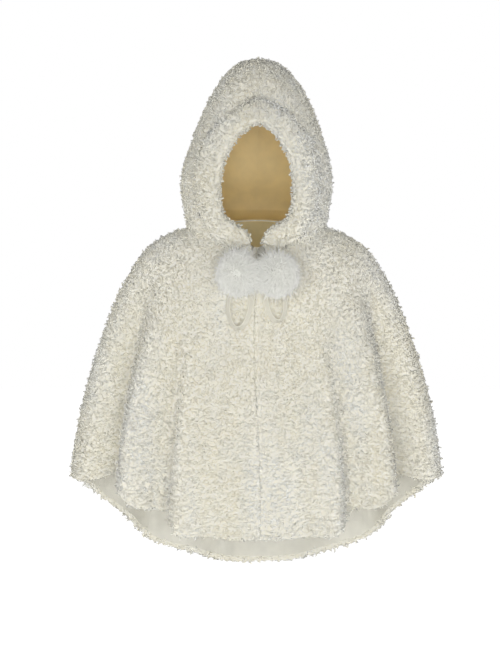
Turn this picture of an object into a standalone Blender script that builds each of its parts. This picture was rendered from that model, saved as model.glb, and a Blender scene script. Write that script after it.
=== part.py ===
"""Hooded cape in curly fleece, worn shape, with a turned-back hood brim, a satin bow and two pompoms.

Metres. +X is the wearer's left, -Y the front, +Z up. The origin is the middle of the neckline, where the
wearer's neck and shoulders hold the cape. Every ring below gives the outside of the pile.
"""

import bpy
import bmesh
import math
import random
from mathutils import Vector
from types import SimpleNamespace

# Cloth sizes
PILE = 0.011
EDGE_PILE = 0.0045
SATIN = 0.0012
GAP = 0.0003
NECK_GAP = 0.0010
EDGE_STEPS = (0.0, 0.004, 0.012)
FAR_FROM_EDGE = 1.0
HALF_TURN = 180.0
SHARP_ANGLE = math.radians(42.0)

# Small steps along a surface, used to find its normals
ANGLE_STEP = 0.45
RING_STEP = 0.05

# Mesh of the body: ring numbers of the rows above the hem, and column angles of a front past its edge
SEAM_ANGLE = 92.0
BODY_ROWS = (0.0, 0.5, 1.0, 1.5, 2.0, 2.5, 3.0, 3.5, 4.0, 4.5, 5.0, 5.4, 5.8, 6.2, 6.55)
FRONT_COLUMNS = (
    7.5, 11.5, 15.5, 19.0, 22.0, 24.8, 27.4, 29.6, 31.3, 32.6, 33.9, 35.8, 38.6, 41.8, 45.0, 48.2,
    51.4, 54.5, 57.5, 60.5, 64.0, 68.0, 73.0, 79.0, 85.5, SEAM_ANGLE,
)
BACK_COLUMNS = 30
SWAY_ANGLE = 22.0
LINING_HEM_SHARE = 0.2

# Search steps
HALVINGS = 30
CHEST_ROUNDS = 10
CHEST_LAST_RING = 5.0

# Brim sizes
BRIM_THICK = 0.017
BRIM_GAP = 0.0012
BRIM_START = 0.12

# Bow and pompom sizes
RIBBON_WIDTH = 0.013
RIBBON_THICK = 0.0012
RIBBON_END = 0.0045
RIBBON_GATHER = 0.030
RIBBON_CLEAR = 0.0018
KNOT = Vector((0.010, -0.1465, -0.033))
KNOT_SIZE = Vector((0.020, 0.015, 0.028))
END_GAP = 0.0007
TIE_GAP = 0.0024
LOOP_PIECES = 28
TAIL_PIECES = 6
TIE_PIECES = 4
POMPOM_CORE = 0.60
POMPOM_INSET = 0.16
LOCK_SWAY = 0.12
LOCK_SHORTER = 0.10
LOCK_DROOP = Vector((0.0, 0.0, 0.06))
TAIL_CLEAR = 0.86


def table(columns, *rows):
    """Rows of plain values as records with named fields."""
    names = columns.split()
    return [SimpleNamespace(**dict(zip(names, row))) for row in rows]


# The neckline seam on the backing cloth, under the pile
NECK = SimpleNamespace(
    side_x=0.098, side_z=0.030, front_y=-0.090, front_z=-0.018, back_y=0.072, back_z=0.046, sway=0.0
)

# Body rings, from the crease under the hood down to the hem
BODY = table(
    "name           side_x  side_z  front_y front_z back_y  back_z  sway",
    ("neck_crease", 0.148, 0.027, -0.122, -0.032, 0.110, 0.034, 0.000),
    ("shoulder_in", 0.194, 0.011, -0.138, -0.075, 0.130, -0.012, -0.001),
    ("shoulder", 0.241, -0.023, -0.150, -0.130, 0.146, -0.075, -0.003),
    ("shoulder_tip", 0.279, -0.082, -0.160, -0.200, 0.158, -0.150, -0.005),
    ("upper_arm", 0.306, -0.148, -0.170, -0.275, 0.172, -0.240, -0.004),
    ("elbow", 0.339, -0.255, -0.182, -0.385, 0.190, -0.380, 0.001),
    ("forearm", 0.367, -0.380, -0.193, -0.505, 0.210, -0.545, 0.007),
    ("hem", 0.384, -0.507, -0.203, -0.627, 0.228, -0.713, 0.006),
)

# Folds that run down to the hem. Depth is outwards at the hem, lift raises the hem there
FOLDS = table(
    "name              side    angle  half_width depth   lift    start",
    ("front_ridge", "both", 9.0, 5.0, 0.006, 0.000, 3.2),
    ("front_corner", "both", 24.6, 6.4, 0.021, -0.014, 2.6),
    ("arm_front_valley", "both", 32.6, 4.2, -0.044, 0.020, 2.2),
    ("arm_ridge", "both", 43.0, 7.5, 0.036, 0.000, 1.4),
    ("arm_rise", "both", 50.0, 12.0, 0.000, 0.034, 3.0),
    ("arm_back_valley", "both", 60.0, 8.5, -0.066, 0.024, 1.6),
    ("side_flare", "both", 92.0, 18.0, 0.017, 0.000, 2.6),
    ("back_side_drop", "both", 137.0, 26.0, 0.000, -0.023, 3.6),
    ("back_side_valley", "left", 124.0, 8.0, -0.017, 0.003, 2.4),
    ("back_side_valley", "right", 127.0, 8.5, -0.019, 0.003, 2.2),
    ("back_side_ridge", "left", 138.5, 7.5, 0.017, -0.003, 2.0),
    ("back_side_ridge", "right", 142.0, 7.5, 0.015, -0.003, 2.3),
    ("back_valley", "left", 152.5, 7.5, -0.018, 0.003, 2.6),
    ("back_valley", "right", 155.5, 7.5, -0.021, 0.004, 2.1),
    ("back_ridge", "left", 166.0, 7.5, 0.017, -0.002, 1.8),
    ("back_ridge", "right", 168.5, 7.0, 0.018, -0.003, 2.4),
    ("centre_back_valley", "both", 180.0, 6.5, -0.014, 0.002, 2.8),
)

# Hood rings, from the neck crease to the peak. edge_x is half the face opening
HOOD = table(
    "name           side_x  side_z  front_y front_z back_y  back_z  edge_x",
    ("neck_crease", 0.148, 0.027, -0.122, -0.032, 0.110, 0.034, 0.009),
    ("throat", 0.153, 0.053, -0.130, 0.006, 0.128, 0.062, 0.029),
    ("chin", 0.1565, 0.070, -0.132, 0.028, 0.135, 0.079, 0.074),
    ("jaw", 0.1605, 0.087, -0.134, 0.050, 0.141, 0.096, 0.084),
    ("cheek", 0.163, 0.122, -0.133, 0.104, 0.149, 0.132, 0.087),
    ("temple", 0.157, 0.168, -0.130, 0.160, 0.153, 0.176, 0.080),
    ("brow", 0.1435, 0.212, -0.1255, 0.208, 0.151, 0.218, 0.056),
    ("arch", 0.1365, 0.232, -0.121, 0.230, 0.149, 0.238, 0.037),
    ("opening_top", 0.129, 0.251, -0.117, 0.249, 0.146, 0.256, 0.000),
    ("forehead", 0.1115, 0.294, -0.101, 0.290, 0.134, 0.297, 0.000),
    ("crown", 0.0895, 0.335, -0.077, 0.331, 0.116, 0.338, 0.000),
    ("peak", 0.064, 0.367, -0.047, 0.365, 0.092, 0.370, 0.000),
    ("peak_top", 0.0365, 0.386, -0.014, 0.385, 0.063, 0.387, 0.000),
    ("apex", 0.000, 0.394, 0.024, 0.394, 0.024, 0.394, 0.000),
)

# Mesh rows of the hood and of its lining, as ring numbers from the peak down
HOOD_ROWS = (
    13.0, 12.0, 11.0, 10.5, 10.0, 9.5, 9.0, 8.5, 8.0, 7.9, 7.7, 7.4, 7.0, 6.5,
    6.0, 5.5, 5.0, 4.5, 4.0, 3.5, 3.0, 2.5, 2.0, 1.5, 1.0, 0.5, 0.0,
)
HOOD_COLUMNS = 18
HOOD_LINING_ROWS = (
    13.0, 12.0, 11.0, 10.0, 9.5, 9.0, 8.05, 7.9, 7.4, 7.0, 6.0, 5.0, 4.0, 3.0, 2.5, 2.0, 1.5, 1.0, 0.5, 0.0,
)
HOOD_LINING_COLUMNS = 12
LINING_SET_BACK = 0.0035
OPENING_ARCH = 7.0
OPENING_TOP = 8.0
LINING_SLACK = 0.0016
HOOD_TILT = 0.03

# Pinches in the hood: where they lie, how wide they are and how deep
HOOD_PINCHES = table(
    "name            angle   half_angle ring   half_rings depth",
    ("brow_pinch", 0.0, 14.0, 9.45, 0.75, -0.009),
    ("brow_ridge", 25.0, 14.0, 9.6, 0.80, 0.004),
    ("nape_fold", 180.0, 42.0, 3.0, 0.90, -0.006),
    ("nape_roll", 180.0, 50.0, 1.2, 0.80, 0.003),
    ("side_crease", 108.0, 16.0, 2.7, 0.90, -0.006),
)

# The brim's free edge on the hood, beside the ring where that part of the brim leaves the face opening
BRIM = table(
    "name        edge_ring free_angle free_ring fullness",
    ("throat", 0.50, 20.0, 0.12, 0.66),
    ("collar", 1.00, 30.0, 0.16, 0.85),
    ("chin_front", 1.50, 37.0, 0.30, 1.00),
    ("chin", 2.00, 42.5, 0.80, 1.00),
    ("chin_side", 2.50, 46.5, 1.55, 1.00),
    ("jaw", 3.00, 49.5, 2.35, 1.00),
    ("cheek", 4.00, 52.5, 4.00, 1.00),
    ("temple", 5.00, 52.0, 5.10, 1.00),
    ("side_brow", 5.50, 48.0, 5.80, 1.00),
    ("brow", 6.00, 43.0, 6.60, 1.00),
    ("arch", 7.00, 30.0, 8.15, 1.00),
    ("arch_top", 7.60, 15.0, 8.80, 0.95),
    ("centre", 8.00, 0.0, 9.05, 0.90),
)

# The brim's outline across its width: share of the way to the free edge, and height over the hood
BRIM_TOP = table(
    "across height",
    (0.06, 1.00),
    (0.35, 1.08),
    (0.65, 1.00),
    (0.88, 0.84),
    (1.00, 0.38),
)

# The brim's underside from its free edge to the face edge: share of the way, and gap to the hood
BRIM_UNDER = table(
    "across gap",
    (1.00, 0.0012),
    (0.75, 0.0024),
    (0.50, 0.0024),
    (0.25, 0.0018),
)

# The rolled front edge of the brim: forwards of the cloth edge, and out from the hood's pile
BRIM_ROLL = table(
    "forwards out",
    (0.0012, -0.0145),
    (0.0085, -0.0125),
    (0.0140, -0.0050),
    (0.0135, 0.0060),
    (0.0080, 0.0140),
)

# Bow loops in front view, from the knot round and back to it. over is the height over the chest and
# lean is how far the ribbon leans over from standing on its edge
LOOP_RIGHT = table(
    "x       z       over    lean",
    (-0.0260, -0.0660, 0.0040, 40.0),
    (-0.0480, -0.0960, 0.0000, 58.0),
    (-0.0580, -0.1300, 0.0000, 58.0),
    (-0.0590, -0.1580, 0.0000, 48.0),
    (-0.0500, -0.1830, 0.0000, 36.0),
    (-0.0370, -0.1900, 0.0000, 32.0),
    (-0.0240, -0.1800, 0.0000, 42.0),
    (-0.0150, -0.1560, 0.0000, 58.0),
    (-0.0090, -0.1260, 0.0000, 70.0),
    (-0.0060, -0.0900, 0.0010, 60.0),
)
LOOP_LEFT = table(
    "x       z       over    lean",
    (0.0400, -0.0660, 0.0040, 40.0),
    (0.0520, -0.0960, 0.0000, 50.0),
    (0.0570, -0.1250, 0.0000, 58.0),
    (0.0570, -0.1520, 0.0000, 55.0),
    (0.0490, -0.1720, 0.0000, 36.0),
    (0.0370, -0.1740, 0.0000, 32.0),
    (0.0260, -0.1600, 0.0000, 45.0),
    (0.0190, -0.1350, 0.0000, 60.0),
    (0.0155, -0.0980, 0.0010, 60.0),
)

# Where each ribbon leaves the knot, as a direction from its middle
KNOT_ENDS = {
    "loop_right": (Vector((-0.72, 0.05, -0.69)), Vector((-0.30, 0.05, -0.95))),
    "loop_left": (Vector((0.76, 0.05, -0.65)), Vector((0.34, 0.05, -0.94))),
    "tail_right": Vector((-0.88, -0.45, -0.10)),
    "tail_left": Vector((0.88, -0.45, -0.10)),
    "tie_right": Vector((-0.62, 0.76, 0.15)),
    "tie_left": Vector((0.62, 0.76, 0.15)),
}

# Which way the short ribbons face, and how far a tail arches
TAIL_FACE = Vector((0.0, -0.5, 0.85))
TIE_FACE = Vector((0.0, 0.2, 1.0))
TAIL_ARCH = Vector((0.0, -0.002, 0.003))

# Where each tie leaves the front of the cape, in front view
TIE_ROOTS = {"tie_right": (-0.014, -0.043), "tie_left": (0.026, -0.043)}

# Each pompom: middle, how far the fur reaches on each side, where its ribbon comes in, and how deep
POMPOMS = table(
    "name            x        y        z        reach_x reach_y reach_z tail_at tail",
    ("pompom_right", -0.0415, -0.1910, -0.0780, 0.0425, 0.0370, 0.0500, 0.95, Vector((0.42, 0.25, 0.87))),
    ("pompom_left", 0.0455, -0.1910, -0.0800, 0.0425, 0.0370, 0.0490, 1.00, Vector((-0.42, 0.25, 0.87))),
)

# Colours as they show, linear
FLEECE = (0.78, 0.75, 0.65)
BODY_SATIN = (0.72, 0.70, 0.60)
HOOD_SATIN = (0.68, 0.47, 0.16)
RIBBON = (0.70, 0.66, 0.50)
FUR = (0.86, 0.86, 0.82)


def clear_scene():
    for old in list(bpy.data.objects):
        bpy.data.objects.remove(old, do_unlink=True)


def material(name, colour, roughness):
    made = bpy.data.materials.new(name)
    made.use_nodes = True
    shader = made.node_tree.nodes["Principled BSDF"]
    shader.inputs["Base Color"].default_value = (*colour, 1.0)
    shader.inputs["Roughness"].default_value = roughness
    shader.inputs["Metallic"].default_value = 0.0
    return made


def add_object(name, mesh, look):
    mesh.materials.append(look)
    mesh.shade_smooth()
    mesh.set_sharp_from_angle(angle=SHARP_ANGLE)
    made = bpy.data.objects.new(name, mesh)
    bpy.context.scene.collection.objects.link(made)
    return made


def smooth_step(t):
    t = min(1.0, max(0.0, t))
    return t * t * (3.0 - 2.0 * t)


def read_table(rows, where, field):
    """The value of one column at a place between rows, on a smooth curve through them."""
    last = len(rows) - 1
    i = min(last - 1, max(0, int(math.floor(where))))
    t = where - i
    a, b = getattr(rows[i], field), getattr(rows[i + 1], field)
    before = getattr(rows[i - 1], field) if i > 0 else a - (b - a)
    after = getattr(rows[i + 2], field) if i + 2 <= last else b + (b - a)
    slope_a, slope_b = (b - before) / 2.0, (after - a) / 2.0
    return (
        (2 * t**3 - 3 * t**2 + 1) * a
        + (t**3 - 2 * t**2 + t) * slope_a
        + (3 * t**2 - 2 * t**3) * b
        + (t**3 - t**2) * slope_b
    )


def ring_at(rows, where):
    fields = [f for f in vars(rows[0]) if f != "name"]
    return SimpleNamespace(**{f: read_table(rows, where, f) for f in fields})


def ring_point(ring, angle):
    """A point of an egg-shaped ring. Angle 0 is the centre front, 90 the left side, 180 the back."""
    a = math.radians(angle)
    middle_y = (ring.front_y + ring.back_y) / 2.0
    x = ring.side_x * math.sin(a)
    y = middle_y - (middle_y - ring.front_y) * math.cos(a)
    end_z = ring.front_z if math.cos(a) > 0 else ring.back_z
    z = ring.side_z + (end_z - ring.side_z) * math.cos(a) ** 2
    return Vector((x, y, z))


def unit_from(a, b):
    return (b - a).normalized()


# Body


def turned(angle):
    """The same angle between minus and plus half a turn."""
    return (angle + HALF_TURN) % (2 * HALF_TURN) - HALF_TURN


def fold_share(fold, angle, ring_number):
    """How much of one fold shows at a place, from 0 to 1."""
    places = {"left": [fold.angle], "right": [-fold.angle], "both": [fold.angle, -fold.angle]}
    off = min(abs(turned(angle - place)) for place in places[fold.side])
    grown = smooth_step((ring_number - fold.start) / (len(BODY) - 1 - fold.start))
    return math.exp(-((off / fold.half_width) ** 2)) * grown


def body_surface(angle, ring_number):
    """The outside of the pile on the body."""
    ring = ring_at(BODY, ring_number)
    p = ring_point(ring, angle)
    along = ring_point(ring, angle + ANGLE_STEP) - ring_point(ring, angle - ANGLE_STEP)
    outwards = Vector((along.y, -along.x, 0.0)).normalized()
    depth = lift = 0.0
    for fold in FOLDS:
        share = fold_share(fold, angle, ring_number)
        depth += fold.depth * share
        lift += fold.lift * share
    sway = ring.sway * math.exp(-((turned(angle) / SWAY_ANGLE) ** 2))
    return p + outwards * depth + Vector((sway, 0.0, lift))


def body_normal(angle, ring_number):
    across = body_surface(angle + ANGLE_STEP, ring_number) - body_surface(angle - ANGLE_STEP, ring_number)
    lower = min(len(BODY) - 1, ring_number + RING_STEP)
    down = body_surface(angle, lower) - body_surface(angle, max(0.0, ring_number - RING_STEP))
    return down.cross(across).normalized()


def pile_share(ring_number, edge_distance):
    """Pile height over its full height: the pile rounds off at the hem and at the front edges."""
    rows_left = (len(BODY) - 1) - ring_number
    hem_distance = rows_left * (BODY[-2].front_z - BODY[-1].front_z)
    nearest = min(hem_distance, edge_distance) / EDGE_STEPS[-1]
    low = EDGE_PILE / PILE
    return low + (1.0 - low) * math.sin(min(1.0, nearest) * math.pi / 2.0)


def hem_rows():
    """Ring numbers of the mesh rows, closer together towards the hem."""
    drop = BODY[-2].front_z - BODY[-1].front_z
    return list(BODY_ROWS) + [len(BODY) - 1 - step / drop for step in reversed(EDGE_STEPS)]


def front_angles(ring):
    """Column angles of a front at one ring: a rounded edge, then closer columns where the folds are."""
    return [math.degrees(math.asin(step / ring.side_x)) for step in EDGE_STEPS] + list(FRONT_COLUMNS)


def back_angles():
    span = 2 * (HALF_TURN - SEAM_ANGLE)
    return [SEAM_ANGLE + span * i / BACK_COLUMNS for i in range(BACK_COLUMNS + 1)]


def body_grids(angles_at, edge_at_first):
    """Outer and inner points of a body panel, row by row from the neck to the hem."""
    outer, inner = [], []
    for number in hem_rows():
        ring = ring_at(BODY, number)
        angles = angles_at(ring)
        outer_row, inner_row = [], []
        for j, angle in enumerate(angles):
            p = body_surface(angle, number)
            if number == 0.0:
                outer_row.append(p)
                inner_row.append(ring_point(NECK, angle))
                continue
            edge = EDGE_STEPS[j] if edge_at_first and j < len(EDGE_STEPS) else FAR_FROM_EDGE
            n = body_normal(angle, number)
            backing = p - n * PILE
            outer_row.append(backing + n * PILE * pile_share(number, edge))
            inner_row.append(backing)
        outer.append(outer_row)
        inner.append(inner_row)
    return outer, inner


def part_seam(grid, first_shift, last_shift):
    """Moves the first and last columns along the rows, to leave the gap at a seam."""
    for row in grid:
        start, end = unit_from(row[0], row[1]), unit_from(row[-1], row[-2])
        row[0] = row[0] + start * first_shift
        row[-1] = row[-1] + end * last_shift
    return grid


def mirrored(grid):
    """The same grid on the wearer's other side, with its columns reversed so that faces still point out."""
    return [[Vector((-p.x, p.y, p.z)) for p in reversed(row)] for row in grid]


def wall(name, outer, inner, look):
    """A closed cloth wall between an outer and an inner grid of points."""
    bm = bmesh.new()
    rows, columns = len(outer), len(outer[0])
    top = [[bm.verts.new(p) for p in row] for row in outer]
    under = [[bm.verts.new(p) for p in row] for row in inner]
    for i in range(rows - 1):
        for j in range(columns - 1):
            bm.faces.new((top[i][j], top[i + 1][j], top[i + 1][j + 1], top[i][j + 1]))
            bm.faces.new((under[i][j], under[i][j + 1], under[i + 1][j + 1], under[i + 1][j]))
    border = [(0, j) for j in range(columns)]
    border += [(i, columns - 1) for i in range(1, rows)]
    border += [(rows - 1, j) for j in range(columns - 2, -1, -1)]
    border += [(i, 0) for i in range(rows - 2, 0, -1)]
    for (i, j), (k, m) in zip(border, border[1:] + border[:1]):
        a, b, c, d = top[i][j], top[k][m], under[k][m], under[i][j]
        upper_first = (i, j) < (k, m)
        halves = ((a, b, c), (a, c, d)) if upper_first else ((a, b, d), (b, c, d))
        for corners in halves:
            bm.faces.new(corners)
    bmesh.ops.remove_doubles(bm, verts=bm.verts, dist=1e-6)
    bmesh.ops.recalc_face_normals(bm, faces=bm.faces)
    mesh = bpy.data.meshes.new(name)
    bm.to_mesh(mesh)
    bm.free()
    return add_object(name, mesh, look)


def grid_normals(grid):
    """Normals of a grid of points, pointing to the same side as the panel's outside."""
    rows, columns = len(grid), len(grid[0])
    normals = []
    for i in range(rows):
        line = []
        for j in range(columns):
            down = grid[min(rows - 1, i + 1)][j] - grid[max(0, i - 1)][j]
            across = grid[i][min(columns - 1, j + 1)] - grid[i][max(0, j - 1)]
            line.append(down.cross(across).normalized())
        normals.append(line)
    return normals


def moved_out(grid, normals, distance):
    return [[p + n * distance for p, n in zip(row, line)] for row, line in zip(grid, normals)]


def build_body(fleece, satin):
    outer, inner = body_grids(front_angles, True)
    for grid in (outer, inner):
        part_seam(grid, GAP, GAP / 2)
    wall("front_left", outer, inner, fleece)
    right_outer, right_inner = right_front_grids()
    wall("front_right", right_outer, right_inner, fleece)
    outer, inner = body_grids(lambda ring: back_angles(), False)
    for grid in (outer, inner):
        part_seam(grid, GAP / 2, GAP / 2)
    wall("back", outer, inner, fleece)
    build_back_lining(inner, satin)


def right_front_grids():
    """The right front: the left front's columns on the other side of the same surface."""
    grids = body_grids(lambda ring: [-a for a in front_angles(ring)], True)
    for grid in grids:
        part_seam(grid, GAP, GAP / 2)
        for row in grid:
            row.reverse()
    return grids


def build_back_lining(inner, satin):
    """The back's satin lining, cut short of the hem so that the pile shows below it."""
    rows = inner[:-2] + [[b.lerp(a, LINING_HEM_SHARE) for a, b in zip(inner[-1], inner[-2])]]
    normals = grid_normals(rows)
    for j in range(len(normals[0])):
        normals[0][j] = Vector((0.0, 0.0, 1.0))
    wall("lining_back", moved_out(rows, normals, -GAP), moved_out(rows, normals, -GAP - SATIN), satin)


# Hood


def hood_ring(number):
    """A hood ring. The face opening closes in a round arch over its last ring."""
    ring = ring_at(HOOD, number)
    if number > OPENING_ARCH:
        arch = HOOD[int(OPENING_ARCH)].edge_x
        ring.edge_x = arch * math.sqrt(max(0.0, OPENING_TOP - number) / (OPENING_TOP - OPENING_ARCH))
    return ring


def hood_surface(angle, number):
    """The outside of the pile on the hood."""
    ring = hood_ring(number)
    p = ring_point(ring, angle)
    middle = Vector((0.0, (ring.front_y + ring.back_y) / 2.0, p.z - HOOD_TILT))
    outwards = (p - middle).normalized()
    depth = 0.0
    for pinch in HOOD_PINCHES:
        off = (abs(angle) - pinch.angle) / pinch.half_angle
        up = (number - pinch.ring) / pinch.half_rings
        depth += pinch.depth * math.exp(-off * off - up * up)
    return p + outwards * depth


def hood_normal(angle, number):
    last = len(HOOD) - 1
    if number == last:
        return Vector((0.0, 0.0, 1.0))
    across = hood_surface(angle + ANGLE_STEP, number) - hood_surface(angle - ANGLE_STEP, number)
    higher = min(last - RING_STEP, number + RING_STEP)
    up = hood_surface(angle, higher) - hood_surface(angle, max(0.0, number - RING_STEP))
    return across.cross(up).normalized()


def face_edge_angle(number, set_back=0.0):
    ring = hood_ring(number)
    if number >= OPENING_TOP:
        return 0.0
    return math.degrees(math.asin(min(1.0, (ring.edge_x + set_back) / ring.side_x)))


def hood_grids(levels, columns, set_back=0.0):
    """Outer and inner points of the left half, from the apex down, face edge first in each row."""
    outer, inner = [], []
    for number in levels:
        start = face_edge_angle(number, set_back)
        angles = [start + (HALF_TURN - start) * j / columns for j in range(columns + 1)]
        if number == 0.0:
            up = Vector((0.0, 0.0, NECK_GAP))
            outer.append([hood_surface(a, 0.0) + up for a in angles])
            inner.append([ring_point(NECK, a) + up for a in angles])
            continue
        outer.append([hood_surface(a, number) for a in angles])
        inner.append([hood_surface(a, number) - hood_normal(a, number) * PILE for a in angles])
    return outer, inner


def centre_gap(grid, levels):
    """Holds the centre seam, over the crown and down the back, half a gap off the middle."""
    for row, number in zip(grid, levels):
        row[-1].x = GAP / 2
        if number >= OPENING_TOP:
            row[0].x = GAP / 2
        for p in row:
            p.x = max(p.x, GAP / 2)
    return grid


def build_hood(fleece, satin):
    outer, inner = hood_grids(HOOD_ROWS, HOOD_COLUMNS)
    for grid in (outer, inner):
        centre_gap(grid, HOOD_ROWS)
    wall("hood_left", outer, inner, fleece)
    wall("hood_right", mirrored(outer), mirrored(inner), fleece)
    levels = HOOD_LINING_ROWS
    backing = hood_grids(levels, HOOD_LINING_COLUMNS, LINING_SET_BACK)[1]
    normals = grid_normals(backing)
    grids = []
    for off in (LINING_SLACK, LINING_SLACK + SATIN):
        grid = moved_out(backing, normals, -off)
        grid[-1] = [p + Vector((0.0, 0.0, off)) for p in backing[-1]]
        grids.append(centre_gap(grid, levels))
    wall("hood_lining_left", grids[0], grids[1], satin)
    wall("hood_lining_right", mirrored(grids[0]), mirrored(grids[1]), satin)


def halved(low, high, too_low):
    """The place between two ends where a test that holds only below it stops holding."""
    for _ in range(HALVINGS):
        place = (low + high) / 2.0
        if too_low(place):
            low = place
        else:
            high = place
    return place


def brim_row(edge_ring):
    """The brim's table read at one ring of the face edge."""
    place = halved(0.0, len(BRIM) - 1.0, lambda w: read_table(BRIM, w, "edge_ring") < edge_ring)
    return ring_at(BRIM, place)


def brim_section(edge_ring):
    """The closed outline of the brim where it leaves the face edge at one ring, cut across it."""
    row = brim_row(edge_ring)
    edge_angle = face_edge_angle(edge_ring)

    def on_hood(across, height):
        angle = edge_angle + (max(0.0, row.free_angle) - edge_angle) * across
        number = edge_ring + (row.free_ring - edge_ring) * across
        return hood_surface(angle, number) + hood_normal(angle, number) * height

    edge, behind = on_hood(0.0, 0.0), on_hood(BRIM_START, 0.0)
    forwards, out = unit_from(behind, edge), hood_normal(edge_angle, edge_ring)
    points = [on_hood(r.across, r.gap) for r in BRIM_UNDER]
    points.append(edge + forwards * BRIM_GAP + out * BRIM_GAP)
    for r in BRIM_ROLL:
        ahead = r.forwards if r.forwards <= BRIM_GAP else r.forwards * row.fullness
        points.append(edge + forwards * ahead + out * (r.out if r.out < 0.0 else r.out * row.fullness))
    points += [on_hood(r.across, BRIM_THICK * r.height * row.fullness) for r in BRIM_TOP]
    return points


def build_brim(name, side, look):
    """One half of the turned-back brim, lofted through its sections and capped at both ends."""
    rings = [number for number in HOOD_ROWS if BRIM[0].edge_ring <= number <= BRIM[-1].edge_ring]
    bm = bmesh.new()
    loops = []
    for number in rings:
        section = brim_section(number)
        for p in section:
            p.x = GAP / 2 if number == OPENING_TOP else max(p.x, GAP)
        loops.append([bm.verts.new((p.x * side, p.y, p.z)) for p in section])
    count = len(loops[0])
    for a, b in zip(loops, loops[1:]):
        for j in range(count):
            k = (j + 1) % count
            bm.faces.new((a[j], a[k], b[k], b[j]))
    caps = [bm.faces.new(loops[0]), bm.faces.new(loops[-1])]
    bm.normal_update()
    bmesh.ops.triangulate(bm, faces=caps)
    bmesh.ops.recalc_face_normals(bm, faces=bm.faces)
    mesh = bpy.data.meshes.new(name)
    bm.to_mesh(mesh)
    bm.free()
    add_object(name, mesh, look)


# Bow and pompoms


def chest_point(x, z, over):
    """The point over the chest at this place in front view, this far out from the pile."""
    angle = 0.0
    for _ in range(CHEST_ROUNDS):
        number = halved(0.0, CHEST_LAST_RING, lambda w: body_surface(angle, w).z > z)
        ring = ring_at(BODY, number)
        angle = math.degrees(math.asin((x - ring.sway) / ring.side_x))
    n = body_normal(angle, number)
    return body_surface(angle, number) + n * over, n


def curve_through(points, count):
    """Evenly counted points on a smooth curve through the given ones."""
    rows = [SimpleNamespace(x=p.x, y=p.y, z=p.z) for p in points]
    last = len(rows) - 1
    places = [last * i / count for i in range(count + 1)]
    return [Vector([read_table(rows, w, f) for f in ("x", "y", "z")]) for w in places]


def ribbon(name, path, faces, look):
    """A flat ribbon along a path, gathered at both ends, its face turned to the given directions."""
    bm = bmesh.new()
    loops = []
    run = [0.0]
    for a, b in zip(path, path[1:]):
        run.append(run[-1] + (b - a).length)
    for i, p in enumerate(path):
        open_share = smooth_step(min(run[i], run[-1] - run[i]) / RIBBON_GATHER)
        width = RIBBON_END + (RIBBON_WIDTH - RIBBON_END) * open_share
        along = path[min(len(path) - 1, i + 1)] - path[max(0, i - 1)]
        across = along.cross(faces[i]).normalized() * width / 2.0
        thick = across.cross(along).normalized() * RIBBON_THICK / 2.0
        corners = (p - across - thick, p + across - thick, p + across + thick, p - across + thick)
        loops.append([bm.verts.new(c) for c in corners])
    for a, b in zip(loops, loops[1:]):
        for j in range(4):
            k = (j + 1) % 4
            bm.faces.new((a[j], a[k], b[k], b[j]))
    bm.faces.new(loops[0])
    bm.faces.new(loops[-1])
    bmesh.ops.recalc_face_normals(bm, faces=bm.faces)
    mesh = bpy.data.meshes.new(name)
    bm.to_mesh(mesh)
    bm.free()
    add_object(name, mesh, look)


def knot_exit(direction):
    """The point just outside the knot in one direction from its middle."""
    radii = KNOT_SIZE / 2.0
    scaled = Vector((direction.x / radii.x, direction.y / radii.y, direction.z / radii.z))
    return KNOT + direction * (1.0 / scaled.length + END_GAP / direction.length)


def build_loop(name, rows, ends, look):
    """A bow loop that lies over the chest, leaning on its edge."""
    points, faces = [], []
    middle_x = sum(row.x for row in rows) / len(rows)
    middle_z = sum(row.z for row in rows) / len(rows)
    for row in rows:
        lean = math.radians(row.lean)
        over = RIBBON_CLEAR + math.cos(lean) * RIBBON_WIDTH / 2.0 + row.over
        p, n = chest_point(row.x, row.z, over)
        sideways = Vector((row.x - middle_x, 0.0, row.z - middle_z))
        sideways = (sideways - n * sideways.dot(n)).normalized()
        points.append(p)
        faces.append(sideways * math.cos(lean) + n * math.sin(lean))
    points = [knot_exit(ends[0])] + points + [knot_exit(ends[1])]
    faces = [faces[0]] + faces + [faces[-1]]
    ribbon(name, curve_through(points, LOOP_PIECES), curve_through(faces, LOOP_PIECES), look)


def build_tail(name, pompom, leaving, look):
    """A short ribbon from the knot down to a pompom's core."""
    tail = pompom.tail.normalized()
    reach = Vector((pompom.reach_x * tail.x, pompom.reach_y * tail.y, pompom.reach_z * tail.z))
    end = Vector((pompom.x, pompom.y, pompom.z)) + reach * POMPOM_CORE * pompom.tail_at + tail * END_GAP
    start = knot_exit(leaving)
    middle = (start + end) / 2.0 + TAIL_ARCH
    path = curve_through([start, middle, end], TAIL_PIECES)
    ribbon(name, path, [TAIL_FACE] * len(path), look)


def build_tie(name, root, leaving, look):
    """A short ribbon from the neck edge of the cape up to the back of the knot."""
    start = chest_point(root[0], root[1], TIE_GAP)[0]
    end = knot_exit(leaving) + leaving.normalized() * END_GAP
    path = curve_through([start, end], TIE_PIECES)
    ribbon(name, path, [TIE_FACE] * len(path), look)


def build_knot(look):
    bm = bmesh.new()
    bmesh.ops.create_icosphere(bm, subdivisions=2, radius=0.5)
    for v in bm.verts:
        v.co = Vector((v.co.x * KNOT_SIZE.x, v.co.y * KNOT_SIZE.y, v.co.z * KNOT_SIZE.z)) + KNOT
    mesh = bpy.data.meshes.new("bow_knot")
    bm.to_mesh(mesh)
    bm.free()
    add_object("bow_knot", mesh, look)


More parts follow.
